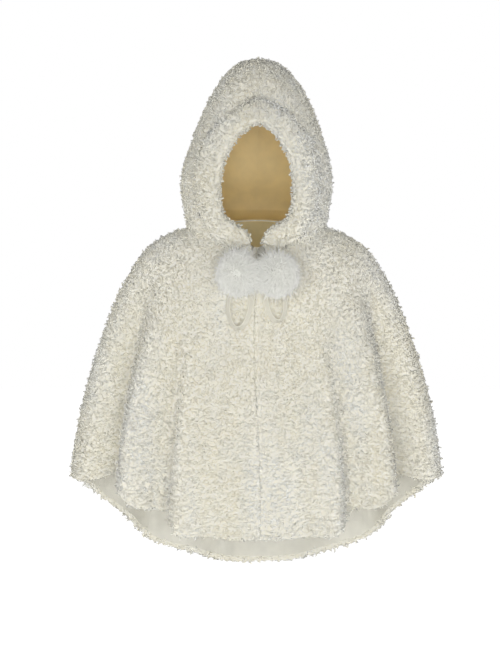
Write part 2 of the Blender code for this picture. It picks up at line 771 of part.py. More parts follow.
def build_pompom(row, seed, look):
    """A fur pompom: a small core with a tapering lock on each face."""
    rng = random.Random(seed)
    reach = Vector((row.reach_x, row.reach_y, row.reach_z))
    centre = Vector((row.x, row.y, row.z))
    tail = row.tail.normalized()

    def place(direction, share):
        return centre + Vector((direction.x * reach.x, direction.y * reach.y, direction.z * reach.z)) * share

    core = bmesh.new()
    bmesh.ops.create_icosphere(core, subdivisions=2, radius=1.0)
    faces = [[v.co.normalized() for v in f.verts] for f in core.faces]
    core.free()
    bm = bmesh.new()
    known = {}

    def core_vert(direction):
        key = tuple(round(c, 4) for c in direction)
        if key not in known:
            known[key] = bm.verts.new(place(direction, POMPOM_CORE))
        return known[key]

    for corners in faces:
        middle = sum(corners, Vector()).normalized()
        base = [core_vert(c) for c in corners]
        if middle.dot(tail) > TAIL_CLEAR:
            bm.faces.new(base)
            continue
        sway = Vector([rng.uniform(-LOCK_SWAY, LOCK_SWAY) for _ in range(3)]) - LOCK_DROOP
        length = 1.0 - rng.uniform(0.0, LOCK_SHORTER)
        inset = [(c.lerp(middle, POMPOM_INSET)) for c in corners]
        root = [bm.verts.new(place(c, POMPOM_CORE)) for c in inset]
        tip_way = (middle + sway).normalized()
        tip = bm.verts.new(place(tip_way, length))
        for j in range(3):
            k = (j + 1) % 3
            bm.faces.new((base[j], base[k], root[k], root[j]))
            bm.faces.new((root[j], root[k], tip))
    bmesh.ops.recalc_face_normals(bm, faces=bm.faces)
    mesh = bpy.data.meshes.new(row.name)
    bm.to_mesh(mesh)
    bm.free()
    add_object(row.name, mesh, look)


def main():
    clear_scene()
    fleece = material("curly_fleece", FLEECE, 0.95)
    satin = material("body_lining_satin", BODY_SATIN, 0.45)
    hood_satin = material("hood_lining_satin", HOOD_SATIN, 0.5)
    ribbon_satin = material("ribbon_satin", RIBBON, 0.35)
    fur = material("pompom_fur", FUR, 0.9)
    build_body(fleece, satin)
    build_hood(fleece, hood_satin)
    build_brim("hood_brim_left", 1.0, fleece)
    build_brim("hood_brim_right", -1.0, fleece)
    build_knot(ribbon_satin)
    build_loop("bow_loop_right", LOOP_RIGHT, KNOT_ENDS["loop_right"], ribbon_satin)
    build_loop("bow_loop_left", LOOP_LEFT, KNOT_ENDS["loop_left"], ribbon_satin)
    for seed, (pompom, side) in enumerate(zip(POMPOMS, ("right", "left")), start=3):
        build_pompom(pompom, seed, fur)
        build_tail("bow_tail_" + side, pompom, KNOT_ENDS["tail_" + side], ribbon_satin)
        build_tie("neck_tie_" + side, TIE_ROOTS["tie_" + side], KNOT_ENDS["tie_" + side], ribbon_satin)


main()
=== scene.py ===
"""Hooded cape in curly fleece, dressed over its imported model: fleece, satin linings, ribbon bow and pompoms.

Metres. +X is the wearer's left, -Y the front, +Z up. The origin is the middle of the neckline.
"""

import math
from types import SimpleNamespace

import bmesh
import bpy
from bpy.props import FloatProperty, FloatVectorProperty, IntProperty, PointerProperty
from bpy.types import Operator, Panel, PropertyGroup
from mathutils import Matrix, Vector


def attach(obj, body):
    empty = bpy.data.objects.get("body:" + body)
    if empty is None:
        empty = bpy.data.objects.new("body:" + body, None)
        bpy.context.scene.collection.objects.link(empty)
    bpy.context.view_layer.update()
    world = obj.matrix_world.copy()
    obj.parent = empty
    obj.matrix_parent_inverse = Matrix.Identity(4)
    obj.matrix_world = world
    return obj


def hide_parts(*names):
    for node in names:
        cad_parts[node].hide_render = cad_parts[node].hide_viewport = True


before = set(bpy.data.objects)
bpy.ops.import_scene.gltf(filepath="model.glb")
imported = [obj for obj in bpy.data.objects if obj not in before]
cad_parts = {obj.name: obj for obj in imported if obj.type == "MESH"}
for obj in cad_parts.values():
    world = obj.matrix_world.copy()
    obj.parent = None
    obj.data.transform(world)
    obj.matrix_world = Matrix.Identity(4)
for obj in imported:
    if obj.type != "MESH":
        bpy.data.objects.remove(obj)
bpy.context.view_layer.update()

bl_info = {
    "name": "Hooded Fleece Cape",
    "version": (1, 0, 0),
    "blender": (4, 5, 0),
    "location": "View3D > Sidebar > Cape",
    "description": "Builds a hooded fleece cape with a folded brim, a ribbon bow and two pompoms",
    "category": "Add Mesh",
}

MM = 0.001

# Cloth shape, the same as in the solids: lengths in metres, angles in degrees, rings counted along a table
PILE = 0.011
SATIN = 0.0012
GAP = 0.0003
SEAM_HALF = 0.00002
NECK_GAP = 0.0010
HALF_TURN = 180.0
ANGLE_STEP = 0.45
RING_STEP = 0.05
SEAM_ANGLE = 92.0
SWAY_ANGLE = 22.0
HALVINGS = 30
CHEST_ROUNDS = 10
CHEST_LAST_RING = 5.0
CREASE_REACH = 2.5

# Rows and columns of the cloth meshes
BODY_LINES = 46
FRONT_LINES = 42
BACK_LINES = 62
HEM_STEPS = (0.0030, 0.0065, 0.0110, 0.0180)
EDGE_STEPS = (0.0003, 0.0030, 0.0070, 0.0130, 0.0200)
EDGE_GROUND = (0.52, 0.84, 0.97)
HOOD_LINES = 36
HOOD_COLUMNS = 32

# Extra rows round the top of the face opening, and how near an even row may lie to one of them
ARCH_LINES = (8.0, 7.95, 7.8, 7.6, 7.3)
ARCH_CLEAR = 0.12

# Pile of one panel beside the others': rows turned in at the back's hem and how much longer it is there,
# where on the way down curls begin to lie in waves, and sizes on the hood and the brim
HEM_TURN_IN = 2
HEM_LONGER = 0.25
LOW_FROM = 0.28
LOW_OVER = 0.5
HOOD_CURLS = 0.92
HOOD_HEIGHT = 1.25
BRIM_CURLS = 1.05
BRIM_LOCKS = 0.58
BRIM_PILE = 0.95
BRIM_EDGE = 1.35

# Hood and linings
HOOD_LEAN = 0.0045
HOOD_LEAN_FROM = 0.10
HOOD_LEAN_OVER = 0.20
OPENING_ARCH = 7.0
OPENING_TOP = 8.0
HOOD_TILT = 0.03
HOOD_MIDDLE_Y = 0.02
LINING_SET_BACK = 0.0035
LINING_SLACK = 0.0016
LINING_HEM = 0.0105
FACING_LOW = -0.030
FACING_HALF = 0.125

# Brim
BRIM_THICK = 0.017
BRIM_GAP = 0.0012
BRIM_START = 0.12
BRIM_LINES = 44
BRIM_HIDES = 2.0
BRIM_SHADES = 7.0
BRIM_SPACING = 1.6
BRIM_UNDER_END = 0.97
BRIM_SINK_MOST = 0.6

# Shares of the pile's height: at an edge, beside the brim, round a hem and where it is turned in
EDGE_PILE = 0.90
SHADED_PILE = 0.80
RIM_PILE = 0.75
TURNED_PILE = 0.6

# Bow
RIBBON_END = 0.0045
RIBBON_GATHER = 0.030
RIBBON_CLEAR = 0.0018
RIBBON_PLEAT = 0.0012
RIBBON_EDGE = 0.35
KNOT = Vector((0.010, -0.1465, -0.033))
KNOT_SIZE = Vector((0.020, 0.015, 0.028))
# The knot's ribbon is darker than the rest: a painted shade for where it sits between the pompoms and under the
# brim
KNOT_PAINTED_SHADE = 0.66
KNOT_WRAPS = 3
KNOT_ROUNDS = 36
KNOT_RISES = 20
KNOT_PLEATS = 5.0
KNOT_PLEAT = 0.08
KNOT_PLEAT_TURN = 1.4
KNOT_PLEAT_MIDDLE = 0.45
KNOT_END = 0.44
END_GAP = 0.0007
TIE_GAP = 0.0024
LOOP_PIECES = 84
TAIL_PIECES = 24
TIE_PIECES = 12

# Pompoms: the core's share of the fur's reach, and how far the fur in front is pressed in
POMPOM_CORE = 0.60
FRONT_FUR = 0.78

# Stage
FLOOR_HALF = 40.0
ROOM_WHITE = (1.0, 1.0, 1.0, 1.0)


def table(columns, *rows):
    """Rows of plain values as records with named fields."""
    names = columns.split()
    return [SimpleNamespace(**dict(zip(names, row))) for row in rows]


NECK = SimpleNamespace(
    side_x=0.098, side_z=0.030, front_y=-0.090, front_z=-0.018, back_y=0.072, back_z=0.046, sway=0.0
)

# Body rings, from the crease under the hood down to the hem
BODY = table(
    "name           side_x  side_z  front_y front_z back_y  back_z  sway",
    ("neck_crease", 0.148, 0.027, -0.122, -0.032, 0.110, 0.034, 0.000),
    ("shoulder_in", 0.194, 0.011, -0.138, -0.075, 0.130, -0.012, -0.001),
    ("shoulder", 0.241, -0.023, -0.150, -0.130, 0.146, -0.075, -0.003),
    ("shoulder_tip", 0.279, -0.082, -0.160, -0.200, 0.158, -0.150, -0.005),
    ("upper_arm", 0.306, -0.148, -0.170, -0.275, 0.172, -0.240, -0.004),
    ("elbow", 0.339, -0.255, -0.182, -0.385, 0.190, -0.380, 0.001),
    ("forearm", 0.367, -0.380, -0.193, -0.505, 0.210, -0.545, 0.007),
    ("hem", 0.384, -0.507, -0.203, -0.627, 0.228, -0.713, 0.006),
)

# Folds that run down to the hem. Depth is outwards at the hem, lift raises the hem there
FOLDS = table(
    "name              side    angle  half_width depth   lift    start",
    ("front_ridge", "both", 9.0, 5.0, 0.006, 0.000, 3.2),
    ("front_corner", "both", 24.6, 6.4, 0.021, -0.014, 2.6),
    ("arm_front_valley", "both", 32.6, 4.2, -0.044, 0.020, 2.2),
    ("arm_ridge", "both", 43.0, 7.5, 0.036, 0.000, 1.4),
    ("arm_rise", "both", 50.0, 12.0, 0.000, 0.034, 3.0),
    ("arm_back_valley", "both", 60.0, 8.5, -0.066, 0.024, 1.6),
    ("side_flare", "both", 92.0, 18.0, 0.017, 0.000, 2.6),
    ("back_side_drop", "both", 137.0, 26.0, 0.000, -0.023, 3.6),
    ("back_side_valley", "left", 124.0, 8.0, -0.017, 0.003, 2.4),
    ("back_side_valley", "right", 127.0, 8.5, -0.019, 0.003, 2.2),
    ("back_side_ridge", "left", 138.5, 7.5, 0.017, -0.003, 2.0),
    ("back_side_ridge", "right", 142.0, 7.5, 0.015, -0.003, 2.3),
    ("back_valley", "left", 152.5, 7.5, -0.018, 0.003, 2.6),
    ("back_valley", "right", 155.5, 7.5, -0.021, 0.004, 2.1),
    ("back_ridge", "left", 166.0, 7.5, 0.017, -0.002, 1.8),
    ("back_ridge", "right", 168.5, 7.0, 0.018, -0.003, 2.4),
    ("centre_back_valley", "both", 180.0, 6.5, -0.014, 0.002, 2.8),
)

# Small soft creases in the hanging cloth: where they lie, how far they reach and how deep they are.
# slant is how many degrees round a crease moves for each ring down
SOFT_CREASES = table(
    "name                 angle   ring  half_angle half_rings depth   slant",
    ("right_shoulder_drag", -34.0, 1.7, 5.0, 0.9, -0.0022, 4.0),
    ("left_shoulder_drag", 37.0, 1.9, 5.0, 0.8, -0.0020, -5.0),
    ("right_chest_hollow", -15.0, 3.1, 5.0, 0.8, -0.0020, -2.0),
    ("left_chest_hollow", 16.0, 3.5, 5.0, 0.9, -0.0022, 2.0),
    ("right_front_dent", -9.0, 5.2, 3.6, 0.5, -0.0018, 3.0),
    ("left_front_dent", 13.0, 5.8, 4.0, 0.5, -0.0020, -3.0),
    ("right_arm_dent", -46.0, 4.3, 6.0, 0.6, -0.0024, 5.0),
    ("left_arm_dent", 44.0, 5.0, 6.0, 0.6, -0.0024, -5.0),
    ("right_side_drag", -78.0, 2.6, 7.0, 0.7, -0.0022, 8.0),
    ("left_side_drag", 81.0, 3.0, 7.0, 0.7, -0.0024, -7.0),
    ("right_side_dent", -100.0, 4.6, 7.0, 0.6, -0.0026, 6.0),
    ("left_side_dent", 104.0, 4.2, 7.0, 0.7, -0.0024, -6.0),
    ("back_left_drag", 133.0, 1.8, 8.0, 0.7, -0.0026, -7.0),
    ("back_right_drag", -136.0, 2.1, 8.0, 0.8, -0.0026, 6.0),
    ("back_left_dent", 160.0, 3.6, 6.0, 0.6, -0.0022, 4.0),
    ("back_right_dent", -163.0, 4.4, 6.0, 0.6, -0.0022, -5.0),
    ("back_nape_dent", 176.0, 1.1, 13.0, 0.5, -0.0022, 0.0),
)

# Hood rings, from the neck crease to the peak. edge_x is half the face opening
HOOD = table(
    "name           side_x  side_z  front_y front_z back_y  back_z  edge_x",
    ("neck_crease", 0.148, 0.027, -0.122, -0.032, 0.110, 0.034, 0.009),
    ("throat", 0.153, 0.053, -0.130, 0.006, 0.128, 0.062, 0.029),
    ("chin", 0.1565, 0.070, -0.132, 0.028, 0.135, 0.079, 0.074),
    ("jaw", 0.1605, 0.087, -0.134, 0.050, 0.141, 0.096, 0.084),
    ("cheek", 0.163, 0.122, -0.133, 0.104, 0.149, 0.132, 0.087),
    ("temple", 0.157, 0.168, -0.130, 0.160, 0.153, 0.176, 0.080),
    ("brow", 0.1435, 0.212, -0.1255, 0.208, 0.151, 0.218, 0.056),
    ("arch", 0.1365, 0.232, -0.121, 0.230, 0.149, 0.238, 0.037),
    ("opening_top", 0.129, 0.251, -0.117, 0.249, 0.146, 0.256, 0.000),
    ("forehead", 0.1115, 0.294, -0.101, 0.290, 0.134, 0.297, 0.000),
    ("crown", 0.0895, 0.335, -0.077, 0.331, 0.116, 0.338, 0.000),
    ("peak", 0.064, 0.367, -0.047, 0.365, 0.092, 0.370, 0.000),
    ("peak_top", 0.0365, 0.386, -0.014, 0.385, 0.063, 0.387, 0.000),
    ("apex", 0.000, 0.394, 0.024, 0.394, 0.024, 0.394, 0.000),
)

# Pinches in the hood: where they lie, how wide they are and how deep
HOOD_PINCHES = table(
    "name            angle   half_angle ring   half_rings depth",
    ("brow_pinch", 0.0, 14.0, 9.45, 0.75, -0.009),
    ("brow_ridge", 25.0, 14.0, 9.6, 0.80, 0.004),
    ("nape_fold", 180.0, 42.0, 3.0, 0.90, -0.006),
    ("nape_roll", 180.0, 50.0, 1.2, 0.80, 0.003),
    ("side_crease", 108.0, 16.0, 2.7, 0.90, -0.006),
)

# Soft unevenness of the hood, not the same on its two sides
HOOD_CREASES = table(
    "name               side angle   ring  half_angle half_rings depth",
    ("left_temple_dent", 1, 96.0, 6.4, 14.0, 0.9, -0.0022),
    ("right_temple_dent", -1, 88.0, 5.8, 14.0, 0.9, -0.0020),
    ("left_back_dent", 1, 142.0, 8.8, 16.0, 1.1, -0.0024),
    ("right_back_dent", -1, 150.0, 7.6, 16.0, 1.1, -0.0026),
    ("left_crown_dent", 1, 62.0, 10.2, 15.0, 0.9, -0.0018),
    ("right_crown_dent", -1, 70.0, 9.4, 15.0, 0.9, -0.0020),
    ("left_nape_dent", 1, 150.0, 2.4, 14.0, 0.7, -0.0020),
    ("right_nape_dent", -1, 140.0, 3.0, 14.0, 0.7, -0.0020),
)

# The brim's free edge on the hood, beside the ring where that part of the brim leaves the face opening
BRIM = table(
    "name        edge_ring free_angle free_ring fullness",
    ("throat", 0.50, 20.0, 0.12, 0.66),
    ("collar", 1.00, 30.0, 0.16, 0.85),
    ("chin_front", 1.50, 37.0, 0.30, 1.00),
    ("chin", 2.00, 42.5, 0.80, 1.00),
    ("chin_side", 2.50, 46.5, 1.55, 1.00),
    ("jaw", 3.00, 49.5, 2.35, 1.00),
    ("cheek", 4.00, 52.5, 4.00, 1.00),
    ("temple", 5.00, 52.0, 5.10, 1.00),
    ("side_brow", 5.50, 48.0, 5.80, 1.00),
    ("brow", 6.00, 43.0, 6.60, 1.00),
    ("arch", 7.00, 30.0, 8.15, 1.00),
    ("arch_top", 7.60, 15.0, 8.80, 0.95),
    ("centre", 8.00, 0.0, 9.05, 0.90),
)
BRIM_TOP = table(
    "across height", (0.06, 1.00), (0.35, 1.08), (0.65, 1.00), (0.88, 0.84), (1.00, 0.38)
)
BRIM_UNDER = table(
    "across gap", (1.00, 0.0012), (0.75, 0.0024), (0.50, 0.0024), (0.25, 0.0018)
)
BRIM_ROLL = table(
    "forwards out",
    (0.0012, -0.0145), (0.0085, -0.0125), (0.0140, -0.0050), (0.0135, 0.0060), (0.0080, 0.0140),
)

# Cross-section of a ribbon, with a woven edge on each side
RIBBON_SECTION = table(
    "across lift",
    (-1.0, 0.0), (-0.86, 0.10), (-0.45, 0.0), (0.0, 0.0), (0.45, 0.0), (0.86, 0.10), (1.0, 0.0),
)

# Bow loops in front view, from the knot round and back to it
LOOP_RIGHT = table(
    "x       z       over    lean",
    (-0.0260, -0.0660, 0.0040, 40.0),
    (-0.0480, -0.0960, 0.0000, 58.0),
    (-0.0580, -0.1300, 0.0000, 58.0),
    (-0.0590, -0.1580, 0.0000, 48.0),
    (-0.0500, -0.1830, 0.0000, 36.0),
    (-0.0370, -0.1900, 0.0000, 32.0),
    (-0.0240, -0.1800, 0.0000, 42.0),
    (-0.0150, -0.1560, 0.0000, 58.0),
    (-0.0090, -0.1260, 0.0000, 70.0),
    (-0.0060, -0.0900, 0.0010, 60.0),
)
LOOP_LEFT = table(
    "x       z       over    lean",
    (0.0400, -0.0660, 0.0040, 40.0),
    (0.0520, -0.0960, 0.0000, 50.0),
    (0.0570, -0.1250, 0.0000, 58.0),
    (0.0570, -0.1520, 0.0000, 55.0),
    (0.0490, -0.1720, 0.0000, 36.0),
    (0.0370, -0.1740, 0.0000, 32.0),
    (0.0260, -0.1600, 0.0000, 45.0),
    (0.0190, -0.1350, 0.0000, 60.0),
    (0.0155, -0.0980, 0.0010, 60.0),
)
KNOT_ENDS = {
    "loop_right": (Vector((-0.72, 0.05, -0.69)), Vector((-0.30, 0.05, -0.95))),
    "loop_left": (Vector((0.76, 0.05, -0.65)), Vector((0.34, 0.05, -0.94))),
    "tail_right": Vector((-0.88, -0.45, -0.10)),
    "tail_left": Vector((0.88, -0.45, -0.10)),
    "tie_right": Vector((-0.62, 0.76, 0.15)),
    "tie_left": Vector((0.62, 0.76, 0.15)),
}
TAIL_FACE = Vector((0.0, -0.5, 0.85))
TIE_FACE = Vector((0.0, 0.2, 1.0))
TAIL_ARCH = Vector((0.0, -0.002, 0.003))
TIE_ROOTS = {"tie_right": (-0.014, -0.043), "tie_left": (0.026, -0.043)}

# Each pompom: middle, how far the fur reaches on each side, where its ribbon comes in, and how deep
POMPOMS = table(
    "name            x        y        z        reach_x reach_y reach_z tail_at tail",
    ("pompom_right", -0.0415, -0.1910, -0.0780, 0.0425, 0.0370, 0.0500, 0.95, Vector((0.42, 0.25, 0.87))),
    ("pompom_left", 0.0455, -0.1910, -0.0800, 0.0425, 0.0370, 0.0490, 1.00, Vector((-0.42, 0.25, 0.87))),
)

# Tones of the wool: down between the curls, in tufts, and in slow drifts with their scale on each axis
WARM_WOOL = (0.93, 0.90, 0.79)
WARM_TUFT = (1.0, 0.985, 0.94)
COOL_TUFT = (0.995, 1.0, 1.0)
WARM_DRIFT = (1.0, 0.975, 0.895)
UNCHANGED = (1.0, 1.0, 1.0)
DRIFT_SCALE = (11.0, 11.0, 3.0)

# How much higher a satin's soft wrinkles are than its rib
WRINKLE_TO_RIB = 12.0

# A painted glow that stands in for the light fine fibres pass on to each other, and how far they are shaded as
# the cloth they stand on.
# The cloth's shading fades out on the side of a strand that faces away from it
PAINTED_WOOL_GLOW = 0.09
PAINTED_FUR_GLOW = 0.10
WOOL_SHARE = 0.7
FUR_SHARE = 0.3
FADE_FROM = -0.4
FADE_TO = -0.1

# Centre lines of the fleece curls in millimetres, root first, and their girth at each point
CURL_LINES = {
    "hook": ((0.0, 0.0, -1.0), (1.2, 0.4, 2.6), (4.6, 1.2, 3.4), (7.2, 0.2, 1.4)),
    "comma": ((0.0, 0.0, -1.0), (0.4, 1.2, 2.6), (3.2, 2.6, 3.8), (6.2, 1.2, 2.6)),
    "wave": ((0.0, 0.0, -1.0), (2.0, -1.0, 2.2), (5.2, 1.0, 3.0), (8.6, -0.6, 1.6)),
    "ring": ((0.0, 0.0, -1.0), (2.8, 1.6, 2.6), (3.8, -1.6, 4.0), (0.8, -2.4, 2.4)),
}
CURL_GIRTH = (1.1, 1.8, 1.6, 0.0)
LOCK_LINES = {
    "tall": ((0.0, 0.0, -1.0), (1.2, 0.2, 3.6), (4.2, 1.2, 5.0), (6.4, -0.2, 3.2)),
    "bow": ((0.0, 0.0, -1.0), (0.6, 1.6, 3.4), (3.4, 2.8, 4.8), (5.8, 1.2, 3.8)),
    "tip": ((0.0, 0.0, -1.0), (1.6, -1.0, 3.2), (3.8, 0.2, 5.2), (5.8, 1.6, 5.0)),
}
LOCK_GIRTH = (1.4, 1.9, 1.8, 0.0)

# Centre lines of the fur strands, as shares of their length, and their girth in millimetres
STRAND_LINES = {
    "straight": ((0.0, 0.0, -0.04), (0.03, 0.02, 0.50), (0.10, 0.03, 1.00)),
    "bent": ((0.0, 0.0, -0.04), (0.08, -0.04, 0.50), (0.28, -0.06, 0.92)),
    "curved": ((0.0, 0.0, -0.04), (-0.03, 0.09, 0.48), (0.10, 0.27, 0.88)),
}
STRAND_GIRTH = (0.36, 0.26, 0.0)
WISP_SPACING = 0.0021
WISP_LONGER = 1.30
FUR_SHORTEST = 0.55
FUR_LONGEST = 1.25
FUR_LIE = {"Spread": 0.55, "Droop": 0.30, "Clump": 0.9, "Low stretch": 0.0}

# How full the scatter may be, as strands to the square of their spacing
FULLEST = 1.6
FULLEST_LOCKS = 1.2
LOCK_SPREAD = 0.6

# How far curls low down are kept from spinning, and the highest number that picks a shape
LAID = 0.75
LAST_PICK = 11

# What is added to the seed for the locks and for the wisps
LOCK_SEEDS = 40
WISP_SEEDS = 5

# Where a pompom's fur stands up beside the knot or runs into the other pompom's, and how much longer it is
PEAKS = table(
    "name            towards                     longer narrow",
    ("pompom_right", Vector((0.10, -0.15, 1.0)), 0.50, 8.0),
    ("pompom_right", Vector((1.0, -0.80, 0.05)), 0.85, 2.0),
    ("pompom_left", Vector((-0.25, -0.15, 1.0)), 0.45, 8.0),
    ("pompom_left", Vector((-1.0, -0.80, 0.05)), 0.75, 2.0),
)

# Lights: where each stands, the height it points at, its size, and the setting that gives its power
LIGHTS = table(
    "name               place                   target_z width height power",
    ("key_light", (-0.2, -5.0, -0.8), -0.30, 5.0, 3.2, "key_power"),
    ("low_light", (0.0, -3.0, -1.3), -0.60, 2.4, 0.8, "low_power"),
    ("side_light_right", (-4.2, -1.6, -0.3), -0.30, 2.6, 3.2, "fill_power"),
    ("rim_light_right", (-2.2, 4.2, 0.4), -0.30, 2.0, 3.0, "rim_power"),
    ("side_light_left", (4.2, -1.6, -0.3), -0.30, 2.6, 3.2, "fill_power"),
    ("rim_light_left", (2.2, 4.2, 0.4), -0.30, 2.0, 3.0, "rim_power"),
)


# Shape of the cape


def smooth_step(t):
    t = min(1.0, max(0.0, t))
    return t * t * (3.0 - 2.0 * t)


def read_table(rows, where, field):
    """The value of one column at a place between rows, on a smooth curve through them."""
    last = len(rows) - 1
    i = min(last - 1, max(0, int(math.floor(where))))
    t = where - i
    a, b = getattr(rows[i], field), getattr(rows[i + 1], field)
    before = getattr(rows[i - 1], field) if i > 0 else a - (b - a)
    after = getattr(rows[i + 2], field) if i + 2 <= last else b + (b - a)
    slope_a, slope_b = (b - before) / 2.0, (after - a) / 2.0
    return (
        (2 * t**3 - 3 * t**2 + 1) * a
        + (t**3 - 2 * t**2 + t) * slope_a
        + (3 * t**2 - 2 * t**3) * b
        + (t**3 - t**2) * slope_b
    )


RINGS_READ = {}


def ring_at(rows, where):
    """A row of a table at a place between its rows."""
    key = (id(rows), where)
    if key not in RINGS_READ:
        fields = [f for f in vars(rows[0]) if f != "name"]
        RINGS_READ[key] = SimpleNamespace(**{f: read_table(rows, where, f) for f in fields})
    return RINGS_READ[key]


def ring_point(ring, angle):
    """A point of an egg-shaped ring. Angle 0 is the centre front, 90 the left side, 180 the back."""
    a = math.radians(angle)
    middle_y = (ring.front_y + ring.back_y) / 2.0
    x = ring.side_x * math.sin(a)
    y = middle_y - (middle_y - ring.front_y) * math.cos(a)
    end_z = ring.front_z if math.cos(a) > 0 else ring.back_z
    z = ring.side_z + (end_z - ring.side_z) * math.cos(a) ** 2
    return Vector((x, y, z))


def turned(angle):
    return (angle + HALF_TURN) % (2 * HALF_TURN) - HALF_TURN


def fold_share(fold, angle, ring_number):
    """How much of a fold there is at one place, from 0 to 1."""
    places = {"left": [fold.angle], "right": [-fold.angle], "both": [fold.angle, -fold.angle]}
    off = min(abs(turned(angle - place)) for place in places[fold.side])
    grown = smooth_step((ring_number - fold.start) / (len(BODY) - 1 - fold.start))
    return math.exp(-((off / fold.half_width) ** 2)) * grown


def body_creases(angle, ring_number):
    """How far the soft creases move the body's outside out."""
    depth = 0.0
    for crease in SOFT_CREASES:
        up = (ring_number - crease.ring) / crease.half_rings
        if abs(up) > CREASE_REACH:
            continue
        off = turned(angle - crease.angle - crease.slant * (ring_number - crease.ring)) / crease.half_angle
        depth += crease.depth * math.exp(-off * off - up * up)
    return depth


def body_surface(angle, ring_number):
    """The outside of the pile on the body."""
    ring = ring_at(BODY, ring_number)
    p = ring_point(ring, angle)
    along = ring_point(ring, angle + ANGLE_STEP) - ring_point(ring, angle - ANGLE_STEP)
    outwards = Vector((along.y, -along.x, 0.0)).normalized()
    depth, lift = body_creases(angle, ring_number), 0.0
    for fold in FOLDS:
        share = fold_share(fold, angle, ring_number)
        depth += fold.depth * share
        lift += fold.lift * share
    sway = ring.sway * math.exp(-((turned(angle) / SWAY_ANGLE) ** 2))
    return p + outwards * depth + Vector((sway, 0.0, lift))


def body_normal(angle, ring_number):
    across = body_surface(angle + ANGLE_STEP, ring_number) - body_surface(angle - ANGLE_STEP, ring_number)
    lower = min(len(BODY) - 1, ring_number + RING_STEP)
    down = body_surface(angle, lower) - body_surface(angle, max(0.0, ring_number - RING_STEP))
    return down.cross(across).normalized()


def hood_ring(number):
    """A hood ring. The face opening closes in a round arch over its last ring."""
    ring = SimpleNamespace(**vars(ring_at(HOOD, number)))
    if number > OPENING_ARCH:
        arch = HOOD[int(OPENING_ARCH)].edge_x
        ring.edge_x = arch * math.sqrt(max(0.0, OPENING_TOP - number) / (OPENING_TOP - OPENING_ARCH))
    return ring


def hood_surface(angle, number, side=0):
    """The outside of the pile on the hood. side adds the soft creases of one side."""
    ring = hood_ring(number)
    p = ring_point(ring, angle)
    middle = Vector((0.0, (ring.front_y + ring.back_y) / 2.0, p.z - HOOD_TILT))
    outwards = (p - middle).normalized()
    depth = 0.0
    for dent in HOOD_PINCHES + [crease for crease in HOOD_CREASES if crease.side == side]:
        off = (abs(angle) - dent.angle) / dent.half_angle
        up = (number - dent.ring) / dent.half_rings
        depth += dent.depth * math.exp(-off * off - up * up)
    return p + outwards * depth


def hood_normal(angle, number, side=0):
    last = len(HOOD) - 1
    if number == last:
        return Vector((0.0, 0.0, 1.0))
    across = hood_surface(angle + ANGLE_STEP, number, side) - hood_surface(angle - ANGLE_STEP, number, side)
    higher = min(last - RING_STEP, number + RING_STEP)
    up = hood_surface(angle, higher, side) - hood_surface(angle, max(0.0, number - RING_STEP), side)
    return across.cross(up).normalized()


def face_edge_angle(number, set_back=0.0):
    """The angle of the face opening's edge at one ring of the hood."""
    ring = hood_ring(number)
    if number >= OPENING_TOP:
        return 0.0
    return math.degrees(math.asin(min(1.0, (ring.edge_x + set_back) / ring.side_x)))


def halved(low, high, too_low):
    """The place between two ends where a test that holds only below it stops holding."""
    for _ in range(HALVINGS):
        place = (low + high) / 2.0
        if too_low(place):
            low = place
        else:
            high = place
    return place


def chest_point(x, z, over):
    """The point over the chest at this place in front view, this far out from the pile."""
    angle = 0.0
    for _ in range(CHEST_ROUNDS):
        number = halved(0.0, CHEST_LAST_RING, lambda w: body_surface(angle, w).z > z)
        ring = ring_at(BODY, number)
        angle = math.degrees(math.asin((x - ring.sway) / ring.side_x))
    n = body_normal(angle, number)
    return body_surface(angle, number) + n * over, n


def curve_through(points, count):
    """Evenly counted points on a smooth curve through the given ones."""
    rows = [SimpleNamespace(x=p.x, y=p.y, z=p.z) for p in points]
    last = len(rows) - 1
    places = [last * i / count for i in range(count + 1)]
    return [Vector([read_table(rows, w, f) for f in ("x", "y", "z")]) for w in places]


def knot_exit(direction):
    """The point just outside the knot in one direction from its middle."""
    radii = KNOT_SIZE / 2.0
    scaled = Vector((direction.x / radii.x, direction.y / radii.y, direction.z / radii.z))
    return KNOT + direction * (1.0 / scaled.length + END_GAP / direction.length)


# Materials


def new_material(name):
    """A new material, its node tree and its shader."""
    made = bpy.data.materials.new(name)
    made.use_nodes = True
    return made, made.node_tree, made.node_tree.nodes["Principled BSDF"]


def set_inputs(tree, node, values):
    """Links sockets to a node's inputs, and sets its other inputs to plain values."""
    for key, value in values.items():
        if isinstance(value, bpy.types.NodeSocket):
            tree.links.new(value, node.inputs[key])
        else:
            node.inputs[key].default_value = value


def add_node(tree, kind, values=None, **settings):
    """A new node's outputs. values are its inputs, by name or place."""
    made = tree.nodes.new(kind)
    for key, value in settings.items():
        setattr(made, key, value)
    set_inputs(tree, made, values or {})
    return made.outputs


def object_place(tree):
    """Places in metres in the cape's own frame."""
    return add_node(tree, "ShaderNodeTexCoord")["Object"]


def cloth_place(tree):
    """Places in metres on the flat cloth."""
    return add_node(tree, "ShaderNodeUVMap", uv_map="cloth")["UV"]


def noise(tree, vector, scale, detail):
    return add_node(tree, "ShaderNodeTexNoise", {"Vector": vector, "Scale": scale, "Detail": detail})["Fac"]


def ramp(tree, value, low, high, colour_low, colour_high):
    made = tree.nodes.new("ShaderNodeValToRGB")
    set_inputs(tree, made, {"Fac": value})
    first, last = made.color_ramp.elements
    first.position, last.position = low, high
    first.color, last.color = (*colour_low, 1.0), (*colour_high, 1.0)
    return made.outputs["Color"]


def multiplied(tree, first, second):
    values = {0: 1.0, 6: first, 7: second}
    return add_node(tree, "ShaderNodeMix", values, data_type="RGBA", blend_type="MULTIPLY")[2]


def bump(tree, height, strength, distance):
    values = {"Height": height, "Strength": strength, "Distance": distance}
    return add_node(tree, "ShaderNodeBump", values)["Normal"]


def scaled_colour(colour, share):
    return tuple(c * share for c in colour)


